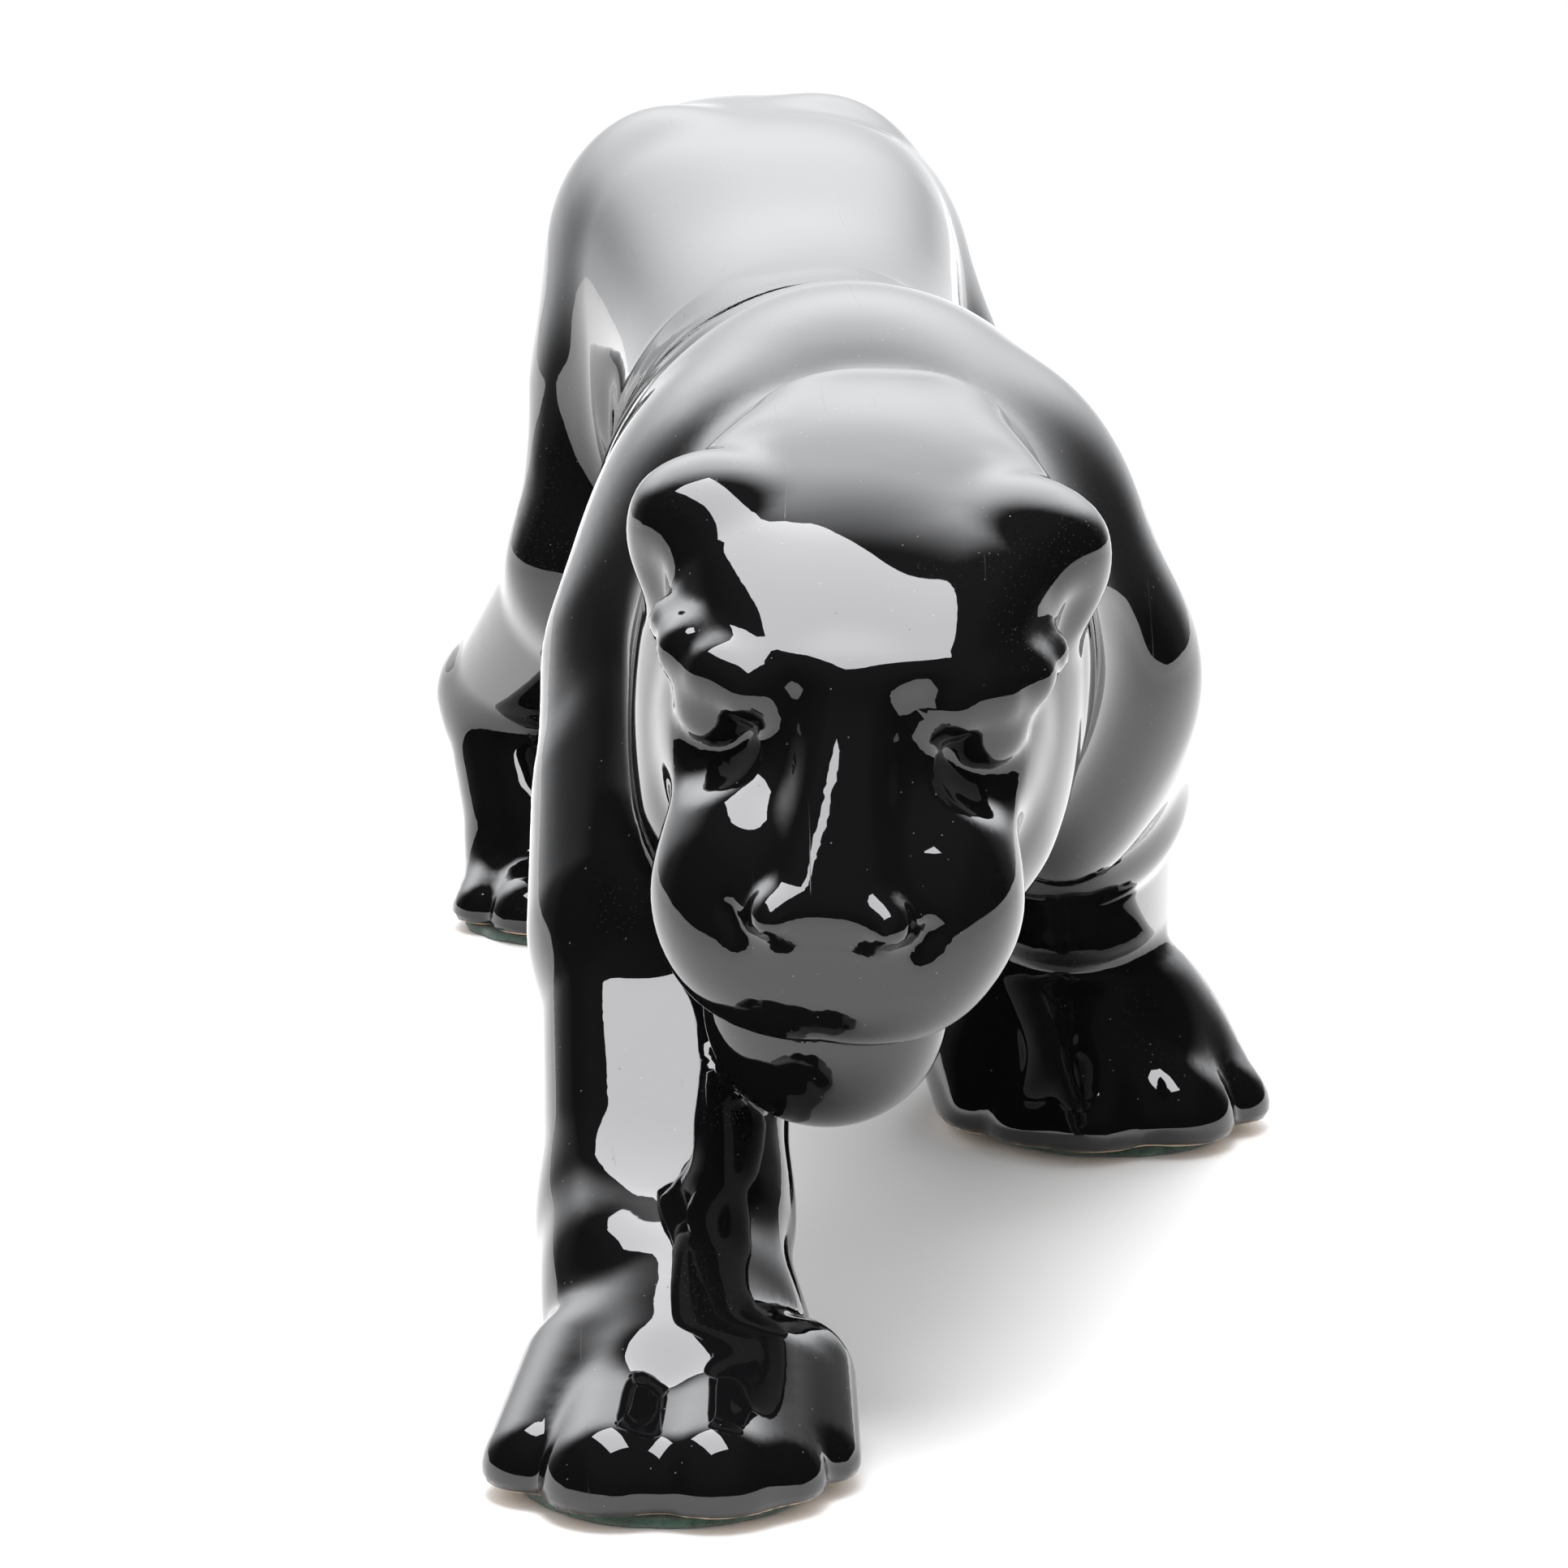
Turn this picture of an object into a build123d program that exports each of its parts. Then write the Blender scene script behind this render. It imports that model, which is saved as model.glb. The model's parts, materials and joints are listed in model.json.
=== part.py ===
"""Ceramic panther television lamp: a slip-cast figure with a lamp holder inside its hollow body.

Millimetres. +Z is up, the head points to -Y, and +X is the animal's left side.
The origin is under the middle of the figure, on the surface it stands on.
"""
from build123d import *
from math import cos, radians, sin, sqrt
import os

os.makedirs("parts", exist_ok=True)

# ----------------------------------------------------------------------------
# Driving dimensions
# ----------------------------------------------------------------------------
FELT_THICKNESS = 1.8          # pads under the paws
WALL = 6.0                    # slip-cast wall round the lamp chamber

# Torso stations: y, centre x, top z, bottom z, half width
TORSO = [
    (-160, -4, 138, 80, 27),
    (-135, -4, 149, 67, 35),
    (-105, -4, 161, 58, 44),
    (-75, -4, 160, 60, 45),
    (-35, -4, 153, 67, 41),
    (10, -4, 150, 76, 36),
    (50, -4, 153, 82, 34),
    (90, -5, 160, 84, 37),
    (125, -6, 163, 84, 40),
    (160, -4, 154, 90, 33),
]
CHAMBER = [                   # lamp chamber inside the torso, same columns
    (-105, -4, 140, 82, 22),
    (-75, -4, 150, 74, 33),
    (-35, -4, 147, 75, 34),
    (10, -4, 144, 82, 30),
    (50, -4, 147, 88, 28),
    (90, -5, 154, 90, 31),
    (125, -6, 150, 98, 26),
]

# Opening in the animal's left flank that lets the light out
WINDOW_Y = -5.0
WINDOW_Z = 112.0
WINDOW_HALF_LENGTH = 52.0
WINDOW_HALF_HEIGHT = 23.0

# Head frame: origin, turn about Z, nod, and tilt about the nose axis
HEAD_ORIGIN = (-9.5, -170, 112)
HEAD_TURN = 9.6
HEAD_NOD = 30.4
HEAD_TILT = 5.0

# Lamp holder, on an axis along Y through the chamber
LAMP_X = -3.0
LAMP_Z = 112.0
MOUTH_Y = -12.0               # open end of the socket shell
SHELL_REAR_Y = 36.0
SHELL_RADIUS = 15.5
SHELL_WALL = 0.5
LINER_OUTER = 14.95
LINER_INNER = 14.3
CAP_FRONT_Y = 33.0
CAP_REAR_Y = 59.0             # end of the cap's threaded boss
INTERIOR_FRONT_Y = 13.0
INTERIOR_REAR_Y = 46.0
KEY_Y = 24.0
SPINDLE_RADIUS = 2.0
RUNNING_CLEARANCE = 0.05

# Edison screw, medium size
THREAD_PITCH = 3.63
THREAD_TURNS = 5
BASE_CREST = 13.05            # bulb base outer radius at the crests
BASE_ROOT = 12.25
HOLDER_GAP = 0.35             # radial gap between bulb base and screw shell
SHEET = 0.35                  # thickness of both rolled thread shells

# Pipe-thread lamp hardware (1/8 IP)
NIPPLE_RADIUS = 5.1
NIPPLE_BORE = 3.6
HARDWARE_HOLE = 5.2
NUT_ACROSS_FLATS = 14.3
NUT_HEIGHT = 4.8

# Cord inlet in the belly
INLET_Y = 78.0
INLET_BOSS_RADIUS = 15.0
INLET_BOSS_LOW = 80.0
INLET_BOSS_HIGH = 93.5
INLET_HOLE = 5.5

BRACKET_THICKNESS = 2.0
BRACKET_WIDTH = 22.0


# ----------------------------------------------------------------------------
# Shape helpers. Each one works in the part that is open when it is called.
# ----------------------------------------------------------------------------
def limb(start, end, start_radius, end_radius, mode=Mode.ADD):
    """Tapering bar with ball ends between two points."""
    along = Vector(*end) - Vector(*start)
    side = Vector(0, 0, 1) if abs(along.normalized().Z) < 0.9 else Vector(1, 0, 0)
    normal = along.cross(side)
    length = along.length
    lean = (start_radius - end_radius) / length
    rise = sqrt(1 - lean * lean)
    half = sqrt((1 + lean) / 2), sqrt((1 - lean) / 2)
    near = (start_radius * lean, start_radius * rise)
    far = (length + end_radius * lean, end_radius * rise)
    near_middle = (-start_radius * half[1], start_radius * half[0])
    far_middle = (length + end_radius * half[0], end_radius * half[1])
    with BuildSketch(Plane(origin=start, x_dir=along, z_dir=normal)) as outline:
        with BuildLine():
            ThreePointArc((-start_radius, 0), near_middle, near)
            Line(near, far)
            ThreePointArc(far, far_middle, (length + end_radius, 0))
            Line((length + end_radius, 0), (-start_radius, 0))
        make_face()
    revolve(outline.sketch, axis=Axis(start, along), mode=mode)


def egg(centre, direction, half_length, radius, mode=Mode.ADD):
    """Ellipsoid of revolution about a direction through its centre."""
    along = Vector(*direction)
    side = Vector(0, 0, 1) if abs(along.normalized().Z) < 0.8 else Vector(0, 1, 0)
    with BuildSketch(Plane(origin=centre, x_dir=along, z_dir=along.cross(side))) as outline:
        with BuildLine():
            EllipticalCenterArc((0, 0), half_length, radius, start_angle=0, arc_size=180)
            Line((-half_length, 0), (half_length, 0))
        make_face()
    revolve(outline.sketch, axis=Axis(centre, along), mode=mode)


def hull_of_sections(stations, mode=Mode.ADD):
    """Loft through upright ellipses along Y."""
    sections = []
    for y, centre_x, top, bottom, half_width in stations:
        middle = (centre_x, y, (top + bottom) / 2)
        with BuildSketch(Plane(origin=middle, x_dir=(1, 0, 0), z_dir=(0, 1, 0))) as section:
            Ellipse(half_width, (top - bottom) / 2)
        sections.append(section.sketch)
    loft(sections, mode=mode)


def turned_about_lamp(points, mode=Mode.ADD):
    """Revolve a closed outline of (radius, y) points about the lamp axis."""
    with BuildSketch(Plane(origin=(LAMP_X, 0, LAMP_Z), x_dir=(1, 0, 0), z_dir=(0, 0, 1))) as outline:
        with BuildLine():
            Polyline(*points, close=True)
        make_face()
    revolve(outline.sketch, axis=Axis((LAMP_X, 0, LAMP_Z), (0, 1, 0)), mode=mode)


def tube_on(plane, outer, inner, height):
    """Round tube standing on a plane."""
    with BuildSketch(plane) as ring:
        Circle(outer)
        Circle(inner, mode=Mode.SUBTRACT)
    extrude(ring.sketch, amount=height)


def nut_on(plane):
    """Hexagonal lamp nut standing on a plane."""
    with BuildSketch(plane) as hexagon:
        RegularPolygon(NUT_ACROSS_FLATS / 2, 6, major_radius=False)
        Circle(HARDWARE_HOLE, mode=Mode.SUBTRACT)
    extrude(hexagon.sketch, amount=NUT_HEIGHT)


def head_point(across, forward, up):
    """Point given in the head's own frame."""
    nose, right, crown = head_axes()
    start = Vector(*HEAD_ORIGIN)
    return tuple(start + right * across + nose * forward + crown * up)


def head_axes():
    turn, nod, tilt = radians(HEAD_TURN), radians(HEAD_NOD), radians(HEAD_TILT)
    nose = Vector(-sin(turn) * cos(nod), -cos(turn) * cos(nod), -sin(nod))
    level = Vector(cos(turn), -sin(turn), 0)
    upright = nose.cross(level)
    right = level * cos(tilt) - upright * sin(tilt)
    crown = upright * cos(tilt) + level * sin(tilt)
    return nose, right, crown


def paw(centre_x, centre_y, turn, size):
    """Four-toed paw; turn swings the toes from -Y towards -X."""
    def place(across, forward, up):
        angle = radians(turn)
        ahead = Vector(-sin(angle), -cos(angle), 0)
        left = Vector(cos(angle), -sin(angle), 0)
        base = Vector(centre_x, centre_y, 0)
        return tuple(base + (left * across + ahead * forward + Vector(0, 0, up)) * size)

    limb(place(0, -14, 19), place(0, 6, 16), 21 * size, 19 * size)
    for across in (-9.5, 9.5):
        limb(place(across, 0, 15), place(across, 24, 12), 13 * size, 10.5 * size)
    for across in (-20.5, 20.5):
        limb(place(across * 0.85, -8, 13), place(across, 11, 10.5), 11 * size, 9 * size)


def sole(pad_x, pad_y, turn, size, front):
    """Outline sketch of the flat under a paw."""
    angle = radians(turn)
    ahead = (-sin(angle), -cos(angle))
    middle = (pad_x + ahead[0] * front * size, pad_y + ahead[1] * front * size)
    with BuildSketch(Plane(origin=(middle[0], middle[1], 0), x_dir=(cos(angle), -sin(angle), 0), z_dir=(0, 0, 1))):
        Ellipse(22 * size, 24 * size)


# ----------------------------------------------------------------------------
# Paws: x, y, turn, size
# ----------------------------------------------------------------------------
PAWS = {
    "front_right": (-45, -243, 8, 1.0),
    "front_left": (45, -38, -12, 0.98),
    "hind_right": (-44, 120, 6, 0.84),
    "hind_left": (37, 160, -6, 0.84),
}

# ----------------------------------------------------------------------------
# Glazed ceramic figure
# ----------------------------------------------------------------------------
with BuildPart() as panther_body:
    hull_of_sections(TORSO)

    # neck and skull
    limb((-6, -160, 108), (-5, -115, 110), 35, 43)
    egg(head_point(0, -4, 8), head_axes()[0], 40, 34.5)
    for side in (-1, 1):
        egg(head_point(17 * side, 10, -12), head_axes()[0], 29, 20)
    # lower jaw and chin
    limb(head_point(0, 4, -16), head_point(0, 54, -22), 22, 17)
    # bridge of the nose
    limb(head_point(0, 16, 24), head_point(0, 74, 15), 17, 12)
    for side in (-1, 1):
        # muzzle pad, brow and ear
        egg(head_point(12.5 * side, 58, 3), head_axes()[0], 22, 16.5)
        egg(head_point(17 * side, 28, 24), head_axes()[0], 11, 11)
        egg(head_point(27 * side, -5, 25), head_axes()[2], 16, 11.5)

    # right foreleg, stretched forward
    limb((-30, -108, 126), (-36, -116, 96), 22, 23.5)
    limb((-36, -114, 92), (-39, -137, 83), 23, 21)
    limb((-39, -134, 80), (-43, -199, 31), 20.5, 19.5)
    limb((-43, -196, 27), (-44, -226, 21), 18.5, 17)
    # left foreleg, back under the chest
    limb((25, -106, 124), (29, -106, 94), 22, 23.5)
    limb((30, -103, 91), (33, -84, 66), 23, 20)
    limb((33, -80, 63), (41, -40, 34), 19.5, 18)
    limb((41, -37, 29), (43, -24, 26), 20, 19)
    # rump
    egg((-5, 146, 122), (0, 1, -0.15), 42, 36)
    # right hind leg
    limb((-18, 116, 131), (-24, 102, 98), 27, 24.5)
    limb((-26, 99, 94), (-36, 94, 78), 23.5, 19)
    limb((-38, 97, 75), (-54, 148, 42), 18, 13)
    limb((-54, 148, 42), (-49, 130, 20), 13, 15)
    # left hind leg, trailing
    limb((11, 127, 123), (20, 120, 92), 29, 26)
    limb((22, 121, 92), (32, 118, 74), 25, 18)
    limb((32, 120, 74), (37, 188, 44), 18, 13)
    limb((37, 188, 44), (38, 172, 20), 13, 15)

    # tail, curving down behind the rump
    for start, end, start_radius, end_radius in (
        ((-2, 150, 138), (14, 184, 143), 15, 10),
        ((14, 184, 143), (23, 210, 128), 10, 9),
        ((23, 210, 128), (27, 230, 98), 9, 8),
        ((27, 230, 98), (24, 244, 64), 8, 7.5),
        ((24, 244, 64), (15, 255, 38), 7.5, 7.5),
        ((15, 255, 38), (0, 264, 24), 7.5, 8),
        ((0, 264, 24), (-14, 267, 26), 8, 8.5),
    ):
        limb(start, end, start_radius, end_radius)

    for x, y, turn, size in PAWS.values():
        paw(x, y, turn, size)

    # flat on the soles
    with BuildSketch(Plane.XY.offset(FELT_THICKNESS)):
        Rectangle(400, 800)
    extrude(amount=-60, mode=Mode.SUBTRACT)

    # hollows left by the slip
    limb((-5, -112, 112), (-6, -158, 110), 34, 28, mode=Mode.SUBTRACT)
    limb(head_point(0, 0, 6), head_point(0, 56, 4), 27, 10, mode=Mode.SUBTRACT)
    limb((-35, -116, 97), (-39, -137, 82), 16, 14, mode=Mode.SUBTRACT)
    limb((-39, -134, 80), (-43, -196, 31), 13.5, 12.5, mode=Mode.SUBTRACT)
    limb((28, -104, 92), (34, -82, 64), 16, 13, mode=Mode.SUBTRACT)
    limb((34, -82, 64), (41, -40, 36), 13, 11, mode=Mode.SUBTRACT)
    limb((-22, 112, 114), (-33, 97, 84), 19, 12, mode=Mode.SUBTRACT)
    limb((20, 124, 108), (30, 120, 82), 21, 13, mode=Mode.SUBTRACT)

    # lamp chamber, window and cord inlet
    hull_of_sections(CHAMBER, mode=Mode.SUBTRACT)
    with BuildSketch(Plane(origin=(8, WINDOW_Y, WINDOW_Z), x_dir=(0, 1, 0), z_dir=(1, 0, 0))):
        Ellipse(WINDOW_HALF_LENGTH, WINDOW_HALF_HEIGHT)
    extrude(amount=60, mode=Mode.SUBTRACT)
    with BuildSketch(Plane(origin=(LAMP_X, INLET_Y, INLET_BOSS_LOW))):
        Circle(INLET_BOSS_RADIUS)
    extrude(amount=INLET_BOSS_HIGH - INLET_BOSS_LOW)
    with BuildSketch(Plane(origin=(LAMP_X, INLET_Y, INLET_BOSS_LOW - 8))):
        Circle(INLET_HOLE)
    extrude(amount=30, mode=Mode.SUBTRACT)
panther_body.part.label = "panther_body"
export_step(panther_body.part, "parts/panther_body.step")

# ----------------------------------------------------------------------------
# Felt pads under the paws
# ----------------------------------------------------------------------------
PAD_SIZES = {
    "front_right": (23.5, 26, 3),
    "front_left": (23, 25, 3),
    "hind_right": (19, 21, 2),
    "hind_left": (19, 21, 2),
}
for name, (pad_x, pad_y, turn, size) in PAWS.items():
    half_across, half_along, ahead = PAD_SIZES[name]
    pad_middle = (pad_x - ahead * sin(radians(turn)), pad_y - ahead * cos(radians(turn)), 0)
    with BuildPart() as felt_pad:
        with BuildSketch(Plane(origin=pad_middle, x_dir=(cos(radians(turn)), -sin(radians(turn)), 0))):
            Ellipse(half_across, half_along)
        extrude(amount=FELT_THICKNESS)
    felt_pad.part.label = f"felt_pad_{name}"
    export_step(felt_pad.part, f"parts/felt_pad_{name}.step")


# ----------------------------------------------------------------------------
# Belly inlet hardware, from the bottom up, on a vertical axis
# ----------------------------------------------------------------------------
def inlet_plane(height):
    return Plane(origin=(LAMP_X, INLET_Y, height))


RUBBER_WASHER = 2.0
STEEL_WASHER = 1.2
rubber_low = INLET_BOSS_LOW - RUBBER_WASHER
steel_low = rubber_low - STEEL_WASHER
lower_nut_low = steel_low - NUT_HEIGHT
nipple_low = lower_nut_low - 3.0
bracket_top = INLET_BOSS_HIGH + BRACKET_THICKNESS
upper_nut_low = bracket_top + STEEL_WASHER
nipple_high = upper_nut_low + NUT_HEIGHT + 3.0

with BuildPart() as inlet_nipple:
    tube_on(inlet_plane(nipple_low), NIPPLE_RADIUS, NIPPLE_BORE, nipple_high - nipple_low)
inlet_nipple.part.label = "inlet_nipple"
export_step(inlet_nipple.part, "parts/inlet_nipple.step")

with BuildPart() as inlet_rubber_washer:
    tube_on(inlet_plane(rubber_low), 12.0, HARDWARE_HOLE, RUBBER_WASHER)
inlet_rubber_washer.part.label = "inlet_rubber_washer"
export_step(inlet_rubber_washer.part, "parts/inlet_rubber_washer.step")

with BuildPart() as inlet_steel_washer:
    tube_on(inlet_plane(steel_low), 11.0, HARDWARE_HOLE, STEEL_WASHER)
inlet_steel_washer.part.label = "inlet_steel_washer"
export_step(inlet_steel_washer.part, "parts/inlet_steel_washer.step")

with BuildPart() as inlet_nut_lower:
    nut_on(inlet_plane(lower_nut_low))
    chamfer(inlet_nut_lower.edges().filter_by(GeomType.LINE).group_by(Axis.Z)[0], 0.5)
inlet_nut_lower.part.label = "inlet_nut_lower"
export_step(inlet_nut_lower.part, "parts/inlet_nut_lower.step")

with BuildPart() as inlet_lock_washer:
    tube_on(inlet_plane(bracket_top), 8.2, HARDWARE_HOLE, STEEL_WASHER)
    with BuildSketch(inlet_plane(bracket_top)):
        with Locations((8, 0)):
            Rectangle(8, 1.2)
    extrude(amount=STEEL_WASHER, mode=Mode.SUBTRACT)
inlet_lock_washer.part.label = "inlet_lock_washer"
export_step(inlet_lock_washer.part, "parts/inlet_lock_washer.step")

with BuildPart() as inlet_nut_upper:
    nut_on(inlet_plane(upper_nut_low))
    chamfer(inlet_nut_upper.edges().filter_by(GeomType.LINE).group_by(Axis.Z)[-1], 0.5)
inlet_nut_upper.part.label = "inlet_nut_upper"
export_step(inlet_nut_upper.part, "parts/inlet_nut_upper.step")

# plastic bushing on the nipple's lower end, with the cord's way through it
BUSHING_DROP = 3.5
BUSHING_BORE = 3.0
with BuildPart() as cord_bushing:
    tube_on(inlet_plane(nipple_low - BUSHING_DROP), 6.6, BUSHING_BORE, BUSHING_DROP)
    fillet(cord_bushing.edges().filter_by(GeomType.CIRCLE).group_by(Axis.Z)[0], 1.2)
    tube_on(inlet_plane(nipple_low), NIPPLE_BORE, BUSHING_BORE, 6.0)
cord_bushing.part.label = "cord_bushing"
export_step(cord_bushing.part, "parts/cord_bushing.step")

# ----------------------------------------------------------------------------
# Bracket: foot on the belly boss, upright behind the socket
# ----------------------------------------------------------------------------
UPRIGHT_TOP = LAMP_Z + 12
FOOT_END_Y = INLET_Y + 13
upright_front_y = CAP_REAR_Y
with BuildPart() as socket_bracket:
    with BuildSketch(Plane(origin=(LAMP_X - BRACKET_WIDTH / 2, 0, 0), x_dir=(0, 1, 0), z_dir=(1, 0, 0))):
        with BuildLine():
            Polyline(
                (upright_front_y, UPRIGHT_TOP),
                (upright_front_y, INLET_BOSS_HIGH),
                (FOOT_END_Y, INLET_BOSS_HIGH),
                (FOOT_END_Y, bracket_top),
                (upright_front_y + BRACKET_THICKNESS, bracket_top),
                (upright_front_y + BRACKET_THICKNESS, UPRIGHT_TOP),
                close=True,
            )
        make_face()
    extrude(amount=BRACKET_WIDTH)
    bend = socket_bracket.edges().filter_by(Axis.X).filter_by_position(
        Axis.Y, upright_front_y - 0.1, upright_front_y + BRACKET_THICKNESS + 0.1
    ).filter_by_position(Axis.Z, INLET_BOSS_HIGH - 0.1, bracket_top + 0.1).sort_by(Axis.Y)
    fillet(bend[-1], 1.5)
    outer_bend = socket_bracket.edges().filter_by(Axis.X).group_by(Axis.Z)[0].sort_by(Axis.Y)[0]
    fillet(outer_bend, 3.5)
    top_corners = socket_bracket.edges().filter_by(Axis.Y).group_by(Axis.Z)[-1]
    fillet(top_corners, 9)
    foot_corners = socket_bracket.edges().filter_by(Axis.Z).group_by(Axis.Y)[-1]
    fillet(foot_corners, 5)
    with BuildSketch(inlet_plane(INLET_BOSS_HIGH - 5)):
        Circle(HARDWARE_HOLE)
    extrude(amount=20, mode=Mode.SUBTRACT)
    with BuildSketch(Plane(origin=(LAMP_X, upright_front_y - 5, LAMP_Z), x_dir=(1, 0, 0), z_dir=(0, 1, 0))):
        Circle(HARDWARE_HOLE)
    extrude(amount=12, mode=Mode.SUBTRACT)
socket_bracket.part.label = "socket_bracket"
export_step(socket_bracket.part, "parts/socket_bracket.step")


# ----------------------------------------------------------------------------
# Nipple that joins the socket cap to the bracket
# ----------------------------------------------------------------------------
def lamp_plane(y):
    return Plane(origin=(LAMP_X, y, LAMP_Z), x_dir=(1, 0, 0), z_dir=(0, 1, 0))


cap_washer_y = upright_front_y + BRACKET_THICKNESS
cap_nut_y = cap_washer_y + STEEL_WASHER
cap_nipple_front_y = CAP_REAR_Y - 6.0
cap_nipple_rear_y = cap_nut_y + NUT_HEIGHT + 2.5

with BuildPart() as socket_nipple:
    tube_on(lamp_plane(cap_nipple_front_y), NIPPLE_RADIUS, NIPPLE_BORE, cap_nipple_rear_y - cap_nipple_front_y)
socket_nipple.part.label = "socket_nipple"
export_step(socket_nipple.part, "parts/socket_nipple.step")

with BuildPart() as socket_lock_washer:
    tube_on(lamp_plane(cap_washer_y), 8.2, HARDWARE_HOLE, STEEL_WASHER)
    with BuildSketch(lamp_plane(cap_washer_y)):
        with Locations((8, 0)):
            Rectangle(8, 1.2)
    extrude(amount=STEEL_WASHER, mode=Mode.SUBTRACT)
socket_lock_washer.part.label = "socket_lock_washer"
export_step(socket_lock_washer.part, "parts/socket_lock_washer.step")

with BuildPart() as socket_nut:
    nut_on(lamp_plane(cap_nut_y))
    chamfer(socket_nut.edges().filter_by(GeomType.LINE).group_by(Axis.Y)[-1], 0.5)
socket_nut.part.label = "socket_nut"
export_step(socket_nut.part, "parts/socket_nut.step")

# ----------------------------------------------------------------------------
# Brass shell socket
# ----------------------------------------------------------------------------
with BuildPart() as socket_cap:
    turned_about_lamp([
        (SHELL_RADIUS + 0.05, CAP_FRONT_Y),
        (SHELL_RADIUS + 0.75, CAP_FRONT_Y),
        (SHELL_RADIUS + 0.75, CAP_FRONT_Y + 9),
        (SHELL_RADIUS - 0.3, CAP_FRONT_Y + 15),
        (SHELL_RADIUS - 3.5, CAP_FRONT_Y + 19),
        (8.6, CAP_FRONT_Y + 20.6),
        (7.2, CAP_FRONT_Y + 21.6),
        (7.2, CAP_REAR_Y),
        (HARDWARE_HOLE, CAP_REAR_Y),
        (HARDWARE_HOLE, CAP_FRONT_Y + 19.9),
        (8.3, CAP_FRONT_Y + 19.9),
        (SHELL_RADIUS - 3.9, CAP_FRONT_Y + 18.4),
        (SHELL_RADIUS - 0.95, CAP_FRONT_Y + 14.6),
        (SHELL_RADIUS + 0.05, CAP_FRONT_Y + 9),
    ])
    with BuildSketch(Plane(origin=(LAMP_X, CAP_REAR_Y - 2.4, LAMP_Z), x_dir=(1, 0, 0), z_dir=(0, 0, 1))):
        Circle(1.25)
    extrude(amount=12, mode=Mode.SUBTRACT)
socket_cap.part.label = "socket_cap"
export_step(socket_cap.part, "parts/socket_cap.step")

# slotted screw that stops the cap turning on its nipple
with BuildPart() as cap_set_screw:
    with BuildSketch(Plane(origin=(LAMP_X, CAP_REAR_Y - 2.4, LAMP_Z + NIPPLE_RADIUS + 0.02), x_dir=(1, 0, 0), z_dir=(0, 0, 1))):
        Circle(1.2)
    extrude(amount=4.2)
    with BuildSketch(Plane(origin=(LAMP_X, CAP_REAR_Y - 2.4, LAMP_Z + NIPPLE_RADIUS + 4.22), x_dir=(1, 0, 0), z_dir=(0, 0, 1))):
        Rectangle(3, 0.5)
    extrude(amount=-0.9, mode=Mode.SUBTRACT)
cap_set_screw.part.label = "cap_set_screw"
export_step(cap_set_screw.part, "parts/cap_set_screw.step")

with BuildPart() as socket_shell:
    turned_about_lamp([
        (SHELL_RADIUS - SHELL_WALL, MOUTH_Y),
        (SHELL_RADIUS + 0.9, MOUTH_Y),
        (SHELL_RADIUS + 1.1, MOUTH_Y + 0.6),
        (SHELL_RADIUS + 0.9, MOUTH_Y + 1.3),
        (SHELL_RADIUS, MOUTH_Y + 1.8),
        (SHELL_RADIUS, SHELL_REAR_Y),
        (SHELL_RADIUS - SHELL_WALL, SHELL_REAR_Y),
    ])
    with BuildSketch(Plane(origin=(LAMP_X + 8, KEY_Y, LAMP_Z), x_dir=(0, 1, 0), z_dir=(1, 0, 0))):
        Circle(3.4)
    extrude(amount=15, mode=Mode.SUBTRACT)
socket_shell.part.label = "socket_shell"
export_step(socket_shell.part, "parts/socket_shell.step")

with BuildPart() as shell_liner:
    with BuildSketch(lamp_plane(MOUTH_Y + 1.5)):
        Circle(LINER_OUTER)
        Circle(LINER_INNER, mode=Mode.SUBTRACT)
    extrude(amount=SHELL_REAR_Y - MOUTH_Y - 3)
    with BuildSketch(Plane(origin=(LAMP_X + 8, KEY_Y, LAMP_Z), x_dir=(0, 1, 0), z_dir=(1, 0, 0))):
        Circle(3.4)
    extrude(amount=15, mode=Mode.SUBTRACT)
shell_liner.part.label = "shell_liner"
export_step(shell_liner.part, "parts/shell_liner.step")

# ----------------------------------------------------------------------------
# Moulded insulator: a rotor pocket, a bore for the spindle, and rear terminals
# ----------------------------------------------------------------------------
INTERIOR_RADIUS = 14.25
ROTOR_RADIUS = 6.0
ROTOR_HALF = 3.5
TERMINAL_HEIGHT = 9.0
with BuildPart() as socket_interior:
    with BuildSketch(lamp_plane(INTERIOR_FRONT_Y)):
        Circle(INTERIOR_RADIUS)
    extrude(amount=19)
    with BuildSketch(lamp_plane(INTERIOR_FRONT_Y + 19)):
        RectangleRounded(16, 2 * TERMINAL_HEIGHT, 2)
    extrude(amount=INTERIOR_REAR_Y - INTERIOR_FRONT_Y - 19)
    with BuildSketch(Plane(origin=(LAMP_X - ROTOR_HALF - 0.5, KEY_Y, LAMP_Z), x_dir=(0, 1, 0), z_dir=(1, 0, 0))):
        Circle(ROTOR_RADIUS + 1)
    extrude(amount=2 * ROTOR_HALF + 1, mode=Mode.SUBTRACT)
    with BuildSketch(Plane(origin=(LAMP_X - 8, KEY_Y, LAMP_Z), x_dir=(0, 1, 0), z_dir=(1, 0, 0))):
        Circle(SPINDLE_RADIUS + RUNNING_CLEARANCE)
    extrude(amount=30, mode=Mode.SUBTRACT)
    # way for the switch leaf from the rotor pocket to the centre contact
    with BuildSketch(lamp_plane(INTERIOR_FRONT_Y)):
        Rectangle(4.4, 3)
    extrude(amount=8, mode=Mode.SUBTRACT)
socket_interior.part.label = "socket_interior"
export_step(socket_interior.part, "parts/socket_interior.step")


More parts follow.
